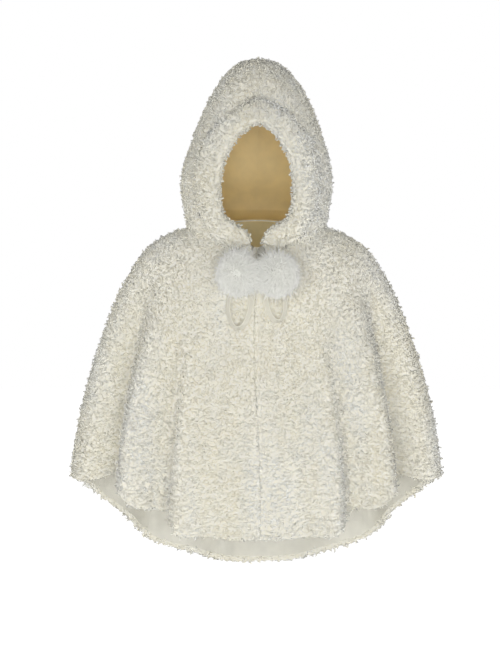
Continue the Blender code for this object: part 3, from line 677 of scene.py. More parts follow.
def tint(tree, colour, low, high):
    """The colour, a little darker or paler from strand to strand."""
    each = add_node(tree, "ShaderNodeAttribute", attribute_name="tint")["Fac"]
    return ramp(tree, each, 0.0, 1.0, scaled_colour(colour, low), scaled_colour(colour, high))


def pile_normal(tree, share):
    """Shades a strand partly as the cloth it stands on, as a mass of fine fibres takes the light.

    The side of a strand that faces the other way keeps its own shading.
    """
    lie = add_node(tree, "ShaderNodeAttribute", attribute_name="lie")["Vector"]
    own = add_node(tree, "ShaderNodeNewGeometry")
    facing = add_node(tree, "ShaderNodeVectorMath", {0: own["True Normal"], 1: lie}, operation="DOT_PRODUCT")
    fade = {"Value": facing["Value"], "From Min": FADE_FROM, "From Max": FADE_TO, "To Max": share}
    shared = add_node(tree, "ShaderNodeMapRange", fade)[0]
    blend = add_node(tree, "ShaderNodeMix", {0: shared, 4: own["Normal"], 5: lie}, data_type="VECTOR")[1]
    return add_node(tree, "ShaderNodeVectorMath", {0: blend}, operation="NORMALIZE")[0]


def woolly(tree, shader, tone, colour, glow, normal):
    """Wool throws light back as evenly at its edges as in its middle.

    The small glow is painted light: an emission that stands in for the light strands pass on to each other.
    """
    values = {
        "Base Color": tone,
        "Emission Color": (*colour, 1.0),
        "Emission Strength": glow,
        "Roughness": 0.9,
        "Diffuse Roughness": 1.0,
        "Specular IOR Level": 0.2,
        "Sheen Weight": 0.5,
        "Sheen Roughness": 0.5,
        "Normal": normal,
    }
    set_inputs(tree, shader, values)


def curl_material(colour):
    """Wool curls: each its own tint, cooler and warmer tufts, and slow drifts of tone over the cloth."""
    made, tree, shader = new_material("curly_fleece")
    place = object_place(tree)
    each = tint(tree, colour, low=0.975, high=1.015)
    small = noise(tree, place, scale=55.0, detail=2.0)
    tufts = ramp(tree, small, 0.36, 0.64, WARM_TUFT, COOL_TUFT)
    stretched = add_node(tree, "ShaderNodeMapping", {"Vector": place, "Scale": DRIFT_SCALE})[0]
    slow = noise(tree, stretched, scale=1.0, detail=2.0)
    drift = ramp(tree, slow, 0.44, 0.66, WARM_DRIFT, UNCHANGED)
    tone = multiplied(tree, multiplied(tree, each, tufts), drift)
    woolly(tree, shader, tone, colour, PAINTED_WOOL_GLOW, pile_normal(tree, WOOL_SHARE))
    return made


def backing_material(colour):
    """The matted wool under the curls."""
    made, tree, shader = new_material("fleece_ground")
    place = object_place(tree)
    cells = add_node(tree, "ShaderNodeTexVoronoi", {"Vector": place, "Scale": 210.0})["Distance"]
    tone = ramp(tree, cells, 0.0, 0.7, colour, WARM_WOOL)
    matted = bump(tree, noise(tree, place, scale=320.0, detail=3.0), strength=0.2, distance=0.002)
    woolly(tree, shader, tone, colour, PAINTED_WOOL_GLOW, matted)
    return made


def satin_material(name, colour, roughness, wrinkle):
    """Woven satin: a fine rib along the cloth, soft wrinkles and a low sheen."""
    made, tree, shader = new_material(name)
    weave = {"Vector": cloth_place(tree), "Scale": 380.0, "Distortion": 1.2, "Detail": 1.0}
    rib = add_node(tree, "ShaderNodeTexWave", weave, bands_direction="Y")["Fac"]
    soft = noise(tree, object_place(tree), wrinkle, detail=2.0)
    height = add_node(tree, "ShaderNodeMath", {0: soft, 1: WRINKLE_TO_RIB, 2: rib}, operation="MULTIPLY_ADD")[0]
    values = {
        # The colour follows the soft wrinkles: painted shade in their hollows and painted light on their crests
        "Base Color": ramp(tree, soft, 0.3, 0.7, scaled_colour(colour, 0.93), scaled_colour(colour, 1.04)),
        "Roughness": roughness,
        "Specular IOR Level": 0.4,
        "Sheen Weight": 0.25,
        "Sheen Roughness": 0.3,
        "Normal": bump(tree, height, strength=0.25, distance=0.0004),
    }
    set_inputs(tree, shader, values)
    return made


def ribbon_material(colour, width):
    """Satin ribbon: a paler woven edge on each side."""
    made, tree, shader = new_material("ribbon_satin")
    sideways = add_node(tree, "ShaderNodeSeparateXYZ", {0: cloth_place(tree)})["X"]
    across = add_node(tree, "ShaderNodeMath", {0: sideways}, operation="ABSOLUTE")[0]
    share = add_node(tree, "ShaderNodeMath", {0: across, 1: 2.0 / width}, operation="MULTIPLY")[0]
    grain = noise(tree, object_place(tree), scale=240.0, detail=2.0)
    values = {
        "Base Color": ramp(tree, share, 0.66, 0.84, scaled_colour(colour, 0.94), scaled_colour(colour, 1.10)),
        "Roughness": 0.38,
        "Specular IOR Level": 0.35,
        "Sheen Weight": 0.2,
        "Normal": bump(tree, grain, strength=0.35, distance=0.0006),
    }
    set_inputs(tree, shader, values)
    return made


def fur_material(colour):
    """Long soft fur: pale strands, each its own tint."""
    made, tree, shader = new_material("pompom_fur")
    tone = tint(tree, colour, low=0.97, high=1.02)
    woolly(tree, shader, tone, colour, PAINTED_FUR_GLOW, pile_normal(tree, FUR_SHARE))
    return made


LOOKS = {}


def look(name):
    """The finish by name, made once."""
    cloth, bow = bpy.context.scene.cape_cloth, bpy.context.scene.cape_bow
    fleece, ribbon = tuple(cloth.fleece_colour), tuple(bow.ribbon_colour)
    body_satin, hood_satin = tuple(cloth.body_satin_colour), tuple(cloth.hood_satin_colour)
    makers = {
        "curls": lambda: curl_material(fleece),
        "ground": lambda: backing_material(fleece),
        "body_satin": lambda: satin_material("body_lining_satin", body_satin, roughness=0.42, wrinkle=26.0),
        "hood_satin": lambda: satin_material("hood_lining_satin", hood_satin, roughness=0.48, wrinkle=30.0),
        # The knot is a darker copy of the ribbon, a painted shade
        "knot": lambda: ribbon_material(scaled_colour(ribbon, KNOT_PAINTED_SHADE), bow.width),
        "ribbon": lambda: ribbon_material(ribbon, bow.width),
        "fur": lambda: fur_material(tuple(bow.fur_colour)),
    }
    if name not in LOOKS:
        LOOKS[name] = makers[name]()
    return LOOKS[name]


# Mesh building


def new_piece(name, mesh, looks):
    """A finished piece at the origin, riding with the cape."""
    mesh.materials.clear()
    for each in looks:
        mesh.materials.append(look(each))
    made = bpy.data.objects.new(name, mesh)
    bpy.context.scene.collection.objects.link(made)
    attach(made, "root")
    return made


def finished_mesh(bm, name):
    mesh = bpy.data.meshes.new(name)
    bm.to_mesh(mesh)
    bm.free()
    return mesh


def lay_flat(bm, flats):
    """Smooth faces, with the flat cloth's own places in metres as their UV map."""
    uv = bm.loops.layers.uv.new("cloth")
    for face in bm.faces:
        face.smooth = True
        for loop in face.loops:
            loop[uv].uv = flats[loop.vert]


def loft(bm, loops):
    """Faces from each closed line of vertices to the next."""
    count = len(loops[0])
    for a, b in zip(loops, loops[1:]):
        for j in range(count):
            k = (j + 1) % count
            bm.faces.new((a[j], a[k], b[k], b[j]))


def lengths(points):
    """How far along a line each of its points is."""
    run = [0.0]
    for a, b in zip(points, points[1:]):
        run.append(run[-1] + (b - a).length)
    return run


def border_of(rows, columns):
    """Places round the edge of a grid, in order."""
    border = [(0, j) for j in range(columns)]
    border += [(i, columns - 1) for i in range(1, rows)]
    border += [(rows - 1, j) for j in range(columns - 2, -1, -1)]
    border += [(i, 0) for i in range(rows - 2, 0, -1)]
    return border


def cloth_mesh(name, outer, inner):
    """A closed cloth of two grids of points, with the flat cloth's own places in metres as its UV map."""
    bm = bmesh.new()
    rows, columns = len(outer), len(outer[0])
    middle = columns // 2
    down = lengths([row[middle] for row in outer])
    runs = [lengths(row) for row in outer]
    flats, sides = {}, []
    for grid in (outer, inner):
        verts = [[bm.verts.new(p) for p in row] for row in grid]
        for i, row in enumerate(verts):
            for j, v in enumerate(row):
                flats[v] = (runs[i][j] - runs[i][middle], -down[i])
        sides.append(verts)
    top, under = sides
    for i in range(rows - 1):
        for j in range(columns - 1):
            bm.faces.new((top[i][j], top[i + 1][j], top[i + 1][j + 1], top[i][j + 1]))
            lining = bm.faces.new((under[i][j], under[i][j + 1], under[i + 1][j + 1], under[i + 1][j]))
            lining.material_index = 1
    border = border_of(rows, columns)
    for (i, j), (k, m) in zip(border, border[1:] + border[:1]):
        rim = bm.faces.new((top[i][j], top[k][m], under[k][m], under[i][j]))
        rim.edges[0].smooth = rim.edges[2].smooth = False
    lay_flat(bm, flats)
    bmesh.ops.remove_doubles(bm, verts=bm.verts, dist=1e-6)
    bmesh.ops.recalc_face_normals(bm, faces=bm.faces)
    return finished_mesh(bm, name)


def cloth_piece(node, outer, inner, looks):
    """The cloth that takes the place of one node."""
    name = node + "_cloth"
    piece = new_piece(name, cloth_mesh(name, outer, inner), looks)
    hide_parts(node)
    return piece


def emitter_mesh(name, outer, inner, open_sides, turn_in, pile, low, bare=None):
    """The outside of a cloth and the rims that carry pile, with how tall and how wavy the pile is.

    turn_in is how many rows of the inside carry pile too, where the hem is turned in. bare tells
    where there is none.
    """
    bm = bmesh.new()
    heights, lows, frees = [bm.verts.layers.float.new(layer) for layer in ("pile", "low", "free")]
    rows, columns = len(outer), len(outer[0])
    rims = {
        "hem": [(rows - 1, j) for j in range(columns)],
        "first": [(i, 0) for i in range(rows)],
        "last": [(i, columns - 1) for i in range(rows - 1, -1, -1)],
    }
    open_places = {place for side in open_sides for place in rims[side]}

    def vert(p, i, j, share, free):
        made = bm.verts.new(p)
        made[heights] = pile(i, j) * share
        made[lows] = low(i, j)
        made[frees] = free
        return made

    def top_vert(i, j):
        return vert(outer[i][j], i, j, 1.0, float((i, j) in open_places))

    top = [[top_vert(i, j) for j in range(columns)] for i in range(rows)]
    for i in range(rows - 1):
        for j in range(columns - 1):
            if not (bare and bare(i, j) and bare(i + 1, j + 1)):
                bm.faces.new((top[i][j], top[i + 1][j], top[i + 1][j + 1], top[i][j + 1]))
    for side in open_sides:
        places = rims[side]
        edge = [vert(inner[i][j], i, j, RIM_PILE, 1.0) for i, j in places]
        for n in range(len(places) - 1):
            (i, j), (k, m) = places[n], places[n + 1]
            bm.faces.new((top[i][j], edge[n], edge[n + 1], top[k][m]))
        for step in range(turn_in if side == "hem" else 0):
            higher = [vert(inner[i - step - 1][j], i, j, TURNED_PILE, 1.0) for i, j in places]
            for n in range(len(places) - 1):
                bm.faces.new((edge[n], higher[n], higher[n + 1], edge[n + 1]))
            edge = higher
    return finished_mesh(bm, name)


# Pile and fur, scattered by geometry nodes


def strand_mesh(name, line, girth):
    """A closed three-sided strand along a line, with a pointed tip."""
    bm = bmesh.new()
    points = [Vector(p) for p in line]
    rings = []
    for i, p in enumerate(points[:-1]):
        along = (points[i + 1] - points[max(0, i - 1)]).normalized()
        side = along.orthogonal().normalized()
        other = along.cross(side)
        turns = [2.0 * math.pi * j / 3.0 for j in range(3)]
        rings.append([bm.verts.new(p + (side * math.cos(t) + other * math.sin(t)) * girth[i]) for t in turns])
    bm.faces.new(rings[0])
    loft(bm, rings)
    tip = bm.verts.new(points[-1])
    for j in range(3):
        bm.faces.new((rings[-1][j], rings[-1][(j + 1) % 3], tip))
    bmesh.ops.recalc_face_normals(bm, faces=bm.faces)
    for face in bm.faces:
        face.smooth = True
    return finished_mesh(bm, name)


def strand_collection(name, lines, girth, scale):
    """The shapes that one kind of pile picks from."""
    made = bpy.data.collections.get(name)
    if made:
        return made
    made = bpy.data.collections.new(name)
    for kind, line in lines.items():
        points = [tuple(c * scale for c in p) for p in line]
        mesh = strand_mesh(name + "_" + kind, points, [g * MM for g in girth])
        made.objects.link(bpy.data.objects.new(name + "_" + kind, mesh))
    return made


PILE_INPUTS = (
    ("Shapes", "NodeSocketCollection", None),
    ("Spacing", "NodeSocketFloat", 0.004),
    ("Most per area", "NodeSocketFloat", 60000.0),
    ("Shortest", "NodeSocketFloat", 0.8),
    ("Longest", "NodeSocketFloat", 1.2),
    ("Spread", "NodeSocketFloat", 0.35),
    ("Droop", "NodeSocketFloat", 0.0),
    ("Clump size", "NodeSocketFloat", 60.0),
    ("Clump", "NodeSocketFloat", 0.0),
    ("Low stretch", "NodeSocketFloat", 0.35),
    ("Height", "NodeSocketFloat", 1.0),
    ("Seed", "NodeSocketInt", 1),
    ("Finish", "NodeSocketMaterial", None),
)


def pile_tree():
    """Scatters shapes over a surface: upright to it, spun at random or, low down, laid sideways."""
    name = "scattered_pile"
    if name in bpy.data.node_groups:
        return bpy.data.node_groups[name]
    tree = bpy.data.node_groups.new(name, "GeometryNodeTree")
    tree.interface.new_socket(name="Surface", in_out="INPUT", socket_type="NodeSocketGeometry")
    for label, kind, value in PILE_INPUTS:
        made = tree.interface.new_socket(name=label, in_out="INPUT", socket_type=kind)
        if value is not None:
            made.default_value = value
    tree.interface.new_socket(name="Pile", in_out="OUTPUT", socket_type="NodeSocketGeometry")
    given = add_node(tree, "NodeGroupInput")

    def node(kind, values, output=0, **settings):
        return add_node(tree, kind, values, **settings)[output]

    def maths(operation, first, second):
        return node("ShaderNodeMath", {0: first, 1: second}, operation=operation)

    def vector_sum(operation, first, second):
        return node("ShaderNodeVectorMath", {0: first, 1: second}, operation=operation)

    def vector_scaled(vector, share):
        return node("ShaderNodeVectorMath", {0: vector, "Scale": share}, operation="SCALE")

    def chance(low, high, more_seed):
        values = {2: low, 3: high, 8: maths("ADD", given["Seed"], more_seed)}
        return node("FunctionNodeRandomValue", values, 1, data_type="FLOAT")

    def read(label):
        return node("GeometryNodeInputNamedAttribute", {"Name": label}, "Attribute", data_type="FLOAT")

    def stored(points, label, kind, value):
        values = {"Geometry": points, "Name": label, "Value": value}
        return node("GeometryNodeStoreNamedAttribute", values, data_type=kind, domain="POINT")

    def turned_about(rotation, axis, angle):
        by = node("FunctionNodeAxisAngleToRotation", {"Axis": axis, "Angle": angle})
        values = {"Rotation": rotation, "Rotate By": by}
        return node("FunctionNodeRotateRotation", values, rotation_space="LOCAL")

    # Points, each with its tint and with the way the cloth lies there
    values = {
        "Mesh": given["Surface"],
        "Distance Min": given["Spacing"],
        "Density Max": given["Most per area"],
        "Seed": given["Seed"],
    }
    scatter = add_node(tree, "GeometryNodeDistributePointsOnFaces", values, distribute_method="POISSON")
    points = stored(scatter["Points"], "tint", "FLOAT", chance(0.0, 1.0, more_seed=11.0))
    held = vector_scaled(scatter["Normal"], maths("SUBTRACT", 1.0, read("free")))
    points = stored(points, "lie", "FLOAT_VECTOR", held)

    # Which way each shape stands: off the cloth, pushed in clumps, and hanging
    place = node("GeometryNodeInputPosition", {})
    values = {"Vector": place, "Scale": given["Clump size"], "Detail": 1.0}
    clumps = node("ShaderNodeTexNoise", values, "Color")
    pushed = vector_scaled(vector_sum("SUBTRACT", clumps, (0.5, 0.5, 0.5)), given["Clump"])
    fall = node("ShaderNodeCombineXYZ", {"Z": maths("MULTIPLY", given["Droop"], -1.0)})
    upright = vector_sum("ADD", scatter["Normal"], vector_sum("ADD", pushed, fall))
    stand = node("FunctionNodeAlignRotationToVector", {"Vector": upright}, axis="Z")
    values = {"Rotation": stand, "Vector": (0.0, 0.0, 1.0)}
    level = node("FunctionNodeAlignRotationToVector", values, axis="Y", pivot_axis="Z")

    # How far it is spun and tipped
    low = read("low")
    loose = maths("SUBTRACT", 1.0, maths("MULTIPLY", low, LAID))
    turn = maths("MULTIPLY", chance(-math.pi, math.pi, more_seed=2.0), loose)
    flip = maths("GREATER_THAN", chance(0.0, 1.0, more_seed=7.0), 0.5)
    angle = maths("ADD", turn, maths("MULTIPLY", flip, math.pi))
    spun = turned_about(level, (0.0, 0.0, 1.0), angle)
    spread_down = maths("MULTIPLY", given["Spread"], -1.0)
    tipped = turned_about(spun, (0.0, 1.0, 0.0), chance(spread_down, given["Spread"], more_seed=5.0))

    # How large it is, and which of the shapes
    size = maths("MULTIPLY", chance(given["Shortest"], given["Longest"], more_seed=3.0), read("pile"))
    stretch = maths("ADD", 1.0, maths("MULTIPLY", low, given["Low stretch"]))
    values = {"X": maths("MULTIPLY", size, stretch), "Y": size, "Z": maths("MULTIPLY", size, given["Height"])}
    scale = node("ShaderNodeCombineXYZ", values)
    values = {"Collection": given["Shapes"], "Separate Children": True, "Reset Children": True}
    shapes = node("GeometryNodeCollectionInfo", values, transform_space="ORIGINAL")
    pick = node("FunctionNodeRandomValue", {4: 0, 5: LAST_PICK, 8: given["Seed"]}, 2, data_type="INT")

    values = {
        "Points": points,
        "Instance": shapes,
        "Pick Instance": True,
        "Instance Index": pick,
        "Rotation": tipped,
        "Scale": scale,
    }
    real = node("GeometryNodeRealizeInstances", {0: node("GeometryNodeInstanceOnPoints", values)})
    finish = node("GeometryNodeSetMaterial", {"Geometry": real, "Material": given["Finish"]})
    add_node(tree, "NodeGroupOutput", {"Pile": finish})
    return tree


def scattered(name, surface, settings, finish):
    """The pile that grows on a surface, as one plain mesh piece."""
    grower = bpy.data.objects.new(name + "_surface", surface)
    bpy.context.scene.collection.objects.link(grower)
    tree = pile_tree()
    modifier = grower.modifiers.new("pile", "NODES")
    modifier.node_group = tree
    given = {**settings, "Finish": look(finish)}
    for item in tree.interface.items_tree:
        if item.in_out == "INPUT" and item.name in given:
            modifier[item.identifier] = given[item.name]
    graph = bpy.context.evaluated_depsgraph_get()
    mesh = bpy.data.meshes.new_from_object(
        grower.evaluated_get(graph), preserve_all_data_layers=True, depsgraph=graph
    )
    grower.modifiers.clear()
    bpy.data.objects.remove(grower, do_unlink=True)
    if not mesh.polygons:
        raise RuntimeError(name + ": nothing grew on the surface")
    for spare in ("low", "pile", "free"):
        if spare in mesh.attributes:
            mesh.attributes.remove(mesh.attributes[spare])
    mesh.name = name
    return new_piece(name, mesh, [finish])


def curl_settings(seed, size, height):
    """The short curls that cover the cloth."""
    fleece = bpy.context.scene.cape_fleece
    spacing = fleece.spacing * size
    return {
        "Shapes": strand_collection("fleece_curls", CURL_LINES, CURL_GIRTH, MM),
        "Spacing": spacing,
        "Most per area": FULLEST / spacing**2,
        "Shortest": fleece.shortest * size,
        "Longest": fleece.longest * size,
        "Spread": fleece.spread,
        "Low stretch": fleece.low_stretch,
        "Height": fleece.height * height,
        "Seed": fleece.seed + seed,
    }


def lock_settings(seed, size, apart):
    """The longer locks that stand out of the curls."""
    fleece = bpy.context.scene.cape_fleece
    spacing = fleece.lock_spacing * size * apart
    return {
        "Shapes": strand_collection("fleece_locks", LOCK_LINES, LOCK_GIRTH, MM),
        "Spacing": spacing,
        "Most per area": FULLEST_LOCKS / spacing**2,
        "Shortest": fleece.shortest * size,
        "Longest": fleece.longest * size,
        "Spread": LOCK_SPREAD,
        "Low stretch": fleece.low_stretch,
        "Seed": fleece.seed + seed + LOCK_SEEDS,
    }


def grow_fleece(name, surface, seed, size=1.0, apart=1.0, height=1.0):
    """Curls and longer locks on one surface. apart spaces the locks."""
    kinds = (
        ("_curls", surface, curl_settings(seed, size, height)),
        ("_locks", surface.copy(), lock_settings(seed, size, apart)),
    )
    return [scattered(name + kind, ground, given, "curls") for kind, ground, given in kinds]


# Cloth panels


def body_lines():
    """Ring numbers of the rows, closer together towards the hem."""
    drop = BODY[-2].front_z - BODY[-1].front_z
    last = len(BODY) - 1
    steps = [last - step / drop for step in reversed(HEM_STEPS)]
    even = [steps[0] * i / BODY_LINES for i in range(BODY_LINES)]
    return even + steps


def front_line_angles(number):
    """Column angles of a front: close together at its edge, then even to the side seam."""
    ring = ring_at(BODY, number)
    steps = [math.degrees(math.asin(step / ring.side_x)) for step in EDGE_STEPS]
    start = steps[-1]
    return steps + [start + (SEAM_ANGLE - start) * (i + 1) / FRONT_LINES for i in range(FRONT_LINES)]


def back_line_angles(_number):
    """Column angles of the back, the same in each row."""
    span = 2 * (HALF_TURN - SEAM_ANGLE)
    return [SEAM_ANGLE + span * i / BACK_LINES for i in range(BACK_LINES + 1)]


def body_grids(angles_at, ground, open_edge=False):
    """Outer and inner points of the ground cloth of a body panel, from the neck to the hem."""
    outer, inner = [], []
    for number in body_lines():
        outer_row, inner_row = [], []
        for j, angle in enumerate(angles_at(number)):
            p, n = body_surface(angle, number), body_normal(angle, number)
            backing = p - n * PILE
            share = EDGE_GROUND[j] if open_edge and j < len(EDGE_GROUND) else 1.0
            outer_row.append(backing + n * ground * share)
            inner_row.append(ring_point(NECK, angle) if number == 0.0 else backing)
        outer.append(outer_row)
        inner.append(inner_row)
    return outer, inner


def part_seam(grid, first_shift, last_shift):
    """Draws a grid's two edges in, so that two panels meet without touching."""
    for row in grid:
        start, end = (row[1] - row[0]).normalized(), (row[-2] - row[-1]).normalized()
        row[0] = row[0] + start * first_shift
        row[-1] = row[-1] + end * last_shift
    return grid


def grid_normals(grid):
    rows, columns = len(grid), len(grid[0])
    normals = []
    for i in range(rows):
        line = []
        for j in range(columns):
            down = grid[min(rows - 1, i + 1)][j] - grid[max(0, i - 1)][j]
            across = grid[i][min(columns - 1, j + 1)] - grid[i][max(0, j - 1)]
            line.append(down.cross(across).normalized())
        normals.append(line)
    return normals


def moved_out(grid, normals, distance):
    return [[p + n * distance for p, n in zip(row, line)] for row, line in zip(grid, normals)]


def low_share(i, count):
    """How far down the cape a row is, for the curls that lie down in waves there."""
    return smooth_step((i / count - LOW_FROM) / LOW_OVER)


def edge_pile(place):
    """Pile is a little lower on the last few millimetres before a front's edge."""
    return EDGE_PILE + (1.0 - EDGE_PILE) * smooth_step(place / len(EDGE_STEPS))


def build_front(side):
    """One front: its cloth, and curls on its outside, down its free edge and round its hem."""
    name = "front_" + side
    ground = bpy.context.scene.cape_cloth.ground
    sign = 1.0 if side == "left" else -1.0
    outer, inner = body_grids(lambda number: [sign * a for a in front_line_angles(number)], ground, True)
    for grid in (outer, inner):
        part_seam(grid, GAP, GAP / 2)
    count = len(outer) - 1
    if side == "right":
        for grid in (outer, inner):
            for row in grid:
                row.reverse()
    last = len(outer[0]) - 1

    def pile(i, j):
        to_edge = j if side == "left" else last - j
        return edge_pile(min(len(EDGE_STEPS), to_edge))

    cloth = cloth_piece(name, outer, inner, ["ground", "body_satin"])
    surface = emitter_mesh(
        name + "_surface", outer, inner, ("hem", "first" if side == "left" else "last"), 1, pile,
        lambda i, j: low_share(i, count),
    )
    grow_fleece(name, surface, 1 if side == "left" else 2)


def build_back():
    """The back's cloth, and its curls in two halves. Gives back the inner grid, for the lining."""
    ground = bpy.context.scene.cape_cloth.ground
    outer, inner = body_grids(back_line_angles, ground)
    for grid in (outer, inner):
        part_seam(grid, GAP / 2, GAP / 2)
    count = len(outer) - 1
    cloth = cloth_piece("back", outer, inner, ["ground", "ground"])
    middle = len(outer[0]) // 2
    halves = (("left", slice(0, middle + 1)), ("right", slice(middle, None)))
    curls = []
    for seed, (side, part) in enumerate(halves, start=3):
        surface = emitter_mesh(
            "back_surface_" + side,
            [row[part] for row in outer],
            [row[part] for row in inner],
            ("hem",),
            HEM_TURN_IN,
            lambda i, j: 1.0 + HEM_LONGER * smooth_step(1.0 - (count - i) / len(HEM_STEPS)),
            lambda i, j: low_share(i, count),
        )
        curls += grow_fleece("back_" + side, surface, seed)
    return inner


def build_back_lining(inner):
    """The satin lining of the back, hung just inside it and hemmed a little shorter."""
    drop = BODY[-2].front_z - BODY[-1].front_z
    numbers = body_lines()
    stop = len(BODY) - 1 - LINING_HEM / drop
    keep = [row for row, number in zip(inner, numbers) if number < stop]
    normals = grid_normals(keep)
    for j in range(len(normals[0])):
        normals[0][j] = Vector((0.0, 0.0, 1.0))
    outer, inner = moved_out(keep, normals, -GAP), moved_out(keep, normals, -GAP - SATIN)
    piece = cloth_piece("lining_back", outer, inner, ["body_satin", "hood_satin"])
    for face in piece.data.polygons:
        face.material_index = 1 if face.center.z > FACING_LOW and abs(face.center.x) < FACING_HALF else 0


# Hood


def lean_hood(piece):
    """The worn hood leans a few millimetres to the wearer's left towards its peak."""
    for v in piece.data.vertices:
        v.co.x += HOOD_LEAN * smooth_step((v.co.z - HOOD_LEAN_FROM) / HOOD_LEAN_OVER)


def hood_numbers():
    """Ring numbers of the hood's rows, from the peak down, closer together round the top of the opening."""
    last = len(HOOD) - 1
    even = [last * (1.0 - i / HOOD_LINES) for i in range(HOOD_LINES + 1)]
    kept = [n for n in even if all(abs(n - a) > ARCH_CLEAR for a in ARCH_LINES)]
    return sorted([*kept, *ARCH_LINES], reverse=True)


def hood_grids(side, set_back, depths):
    """Grids of one half of the hood at depths under the pile's outside, from the apex down."""
    sign = 1 if side == "left" else -1
    grids = [[] for _ in depths]
    for number in hood_numbers():
        start = face_edge_angle(number, set_back)
        angles = [start + (HALF_TURN - start) * j / HOOD_COLUMNS for j in range(HOOD_COLUMNS + 1)]
        for grid, depth in zip(grids, depths):
            row = []
            for a in angles:
                p = hood_surface(a, number, sign) - hood_normal(a, number, sign) * depth
                if number == 0.0:
                    p = ring_point(NECK, a) if depth >= PILE else ring_point(hood_ring(0.0), a)
                    p = p + Vector((0.0, 0.0, NECK_GAP + max(0.0, depth - PILE)))
                row.append(p)
            grid.append(row)
    for grid in grids:
        for row, number in zip(grid, hood_numbers()):
            row[-1].x = SEAM_HALF
            if number >= OPENING_TOP:
                row[0].x = SEAM_HALF
            for p in row:
                p.x = max(p.x, SEAM_HALF)
    if side == "right":
        grids = [[[Vector((-p.x, p.y, p.z)) for p in reversed(row)] for row in grid] for grid in grids]
    return grids


def build_hood_half(side, seed):
    """One half of the hood: its cloth, and the curls outside what the brim covers."""
    name = "hood_" + side
    ground = bpy.context.scene.cape_cloth.ground
    outer, inner = hood_grids(side, 0.0, (PILE - ground, PILE))
    cloth = cloth_piece(name, outer, inner, ["ground", "ground"])
    numbers, last = hood_numbers(), len(outer[0]) - 1
    covers = [brim_cover(number) for number in numbers]

    def past_brim(i, j):
        start = face_edge_angle(numbers[i])
        column = j if side == "left" else last - j
        return start + (HALF_TURN - start) * column / last - covers[i]

    def pile(i, j):
        return SHADED_PILE + (1.0 - SHADED_PILE) * smooth_step((past_brim(i, j) + BRIM_HIDES) / BRIM_SHADES)

    surface = emitter_mesh(
        name + "_surface",
        outer,
        inner,
        (),
        0,
        pile,
        lambda i, j: 0.0,
        lambda i, j: past_brim(i, j) < -BRIM_HIDES,
    )
    pieces = grow_fleece(name, surface, seed, HOOD_CURLS, 1.0, HOOD_HEIGHT)
    for piece in [cloth, *pieces]:
        lean_hood(piece)


def build_hood_lining_half(side):
    """The satin inside one half of the hood."""
    name = "hood_lining_" + side
    slack = PILE + LINING_SLACK
    outer, inner = hood_grids(side, LINING_SET_BACK, (slack, slack + SATIN))
    piece = cloth_piece(name, outer, inner, ["hood_satin", "hood_satin"])
    lean_hood(piece)


def brim_cover(number):
    """The angle that the brim covers at one ring of the hood, from the face edge."""
    if not BRIM[0].free_ring <= number <= BRIM[-1].free_ring:
        return -HALF_TURN
    place = halved(0.0, len(BRIM) - 1.0, lambda w: read_table(BRIM, w, "free_ring") < number)
    return max(0.0, read_table(BRIM, place, "free_angle"))


def brim_row(edge_ring):
    """The brim's measures where it leaves the face edge at one ring of the hood."""
    place = halved(0.0, len(BRIM) - 1.0, lambda w: read_table(BRIM, w, "edge_ring") < edge_ring)
    return ring_at(BRIM, place)


def brim_section(edge_ring, sink):
    """The closed outline of the brim's cloth where it leaves the face edge at one ring."""
    row = brim_row(edge_ring)
    edge_angle = face_edge_angle(edge_ring)

    def on_hood(across, height):
        angle = edge_angle + (max(0.0, row.free_angle) - edge_angle) * across
        number = edge_ring + (row.free_ring - edge_ring) * across
        return hood_surface(angle, number) + hood_normal(angle, number) * height

    edge, behind = on_hood(0.0, 0.0), on_hood(BRIM_START, 0.0)
    forwards, out = (edge - behind).normalized(), hood_normal(edge_angle, edge_ring)
    points = [on_hood(min(r.across, BRIM_UNDER_END), r.gap) for r in BRIM_UNDER]
    points.append(edge + forwards * BRIM_GAP + out * BRIM_GAP)
    for r in BRIM_ROLL:
        ahead = r.forwards if r.forwards <= BRIM_GAP else r.forwards * row.fullness
        points.append(edge + forwards * ahead + out * (r.out if r.out < 0.0 else r.out * row.fullness))
    points += [on_hood(r.across, BRIM_THICK * r.height * row.fullness) for r in BRIM_TOP]
    count = len(points)
    first = len(BRIM_UNDER) + 1
    middle = sum(points[first:], Vector()) / (count - first)
    level = []
    for i, p in enumerate(points):
        if i < first:
            level.append(p)
            continue
        before, after = points[i - 1], points[(i + 1) % count]
        along = (after - before).normalized()
        inwards = (middle - p) - along * (middle - p).dot(along)
        level.append(p + inwards.normalized() * min(sink, inwards.length * BRIM_SINK_MOST))
    return level, first


def brim_points(numbers, side):
    """The outline of one half of the brim at each ring, and the place where its outside starts."""
    sign = 1.0 if side == "left" else -1.0
    outlines = []
    for number in numbers:
        points, first = brim_section(number, bpy.context.scene.cape_cloth.brim_sink)
        for p in points:
            p.x = (GAP / 2 if number == numbers[-1] else max(p.x, GAP)) * sign
        outlines.append(points)
    return outlines, first


def brim_body(name, outlines):
    """The brim's folded cloth, lofted through its outlines."""
    bm = bmesh.new()
    loops = [[bm.verts.new(p) for p in points] for points in outlines]
    loft(bm, loops)
    caps = [bm.faces.new(loops[0]), bm.faces.new(loops[-1])]
    bm.normal_update()
    bmesh.ops.triangulate(bm, faces=caps)
    bmesh.ops.recalc_face_normals(bm, faces=bm.faces)
    for face in bm.faces:
        face.smooth = True
    return finished_mesh(bm, name)


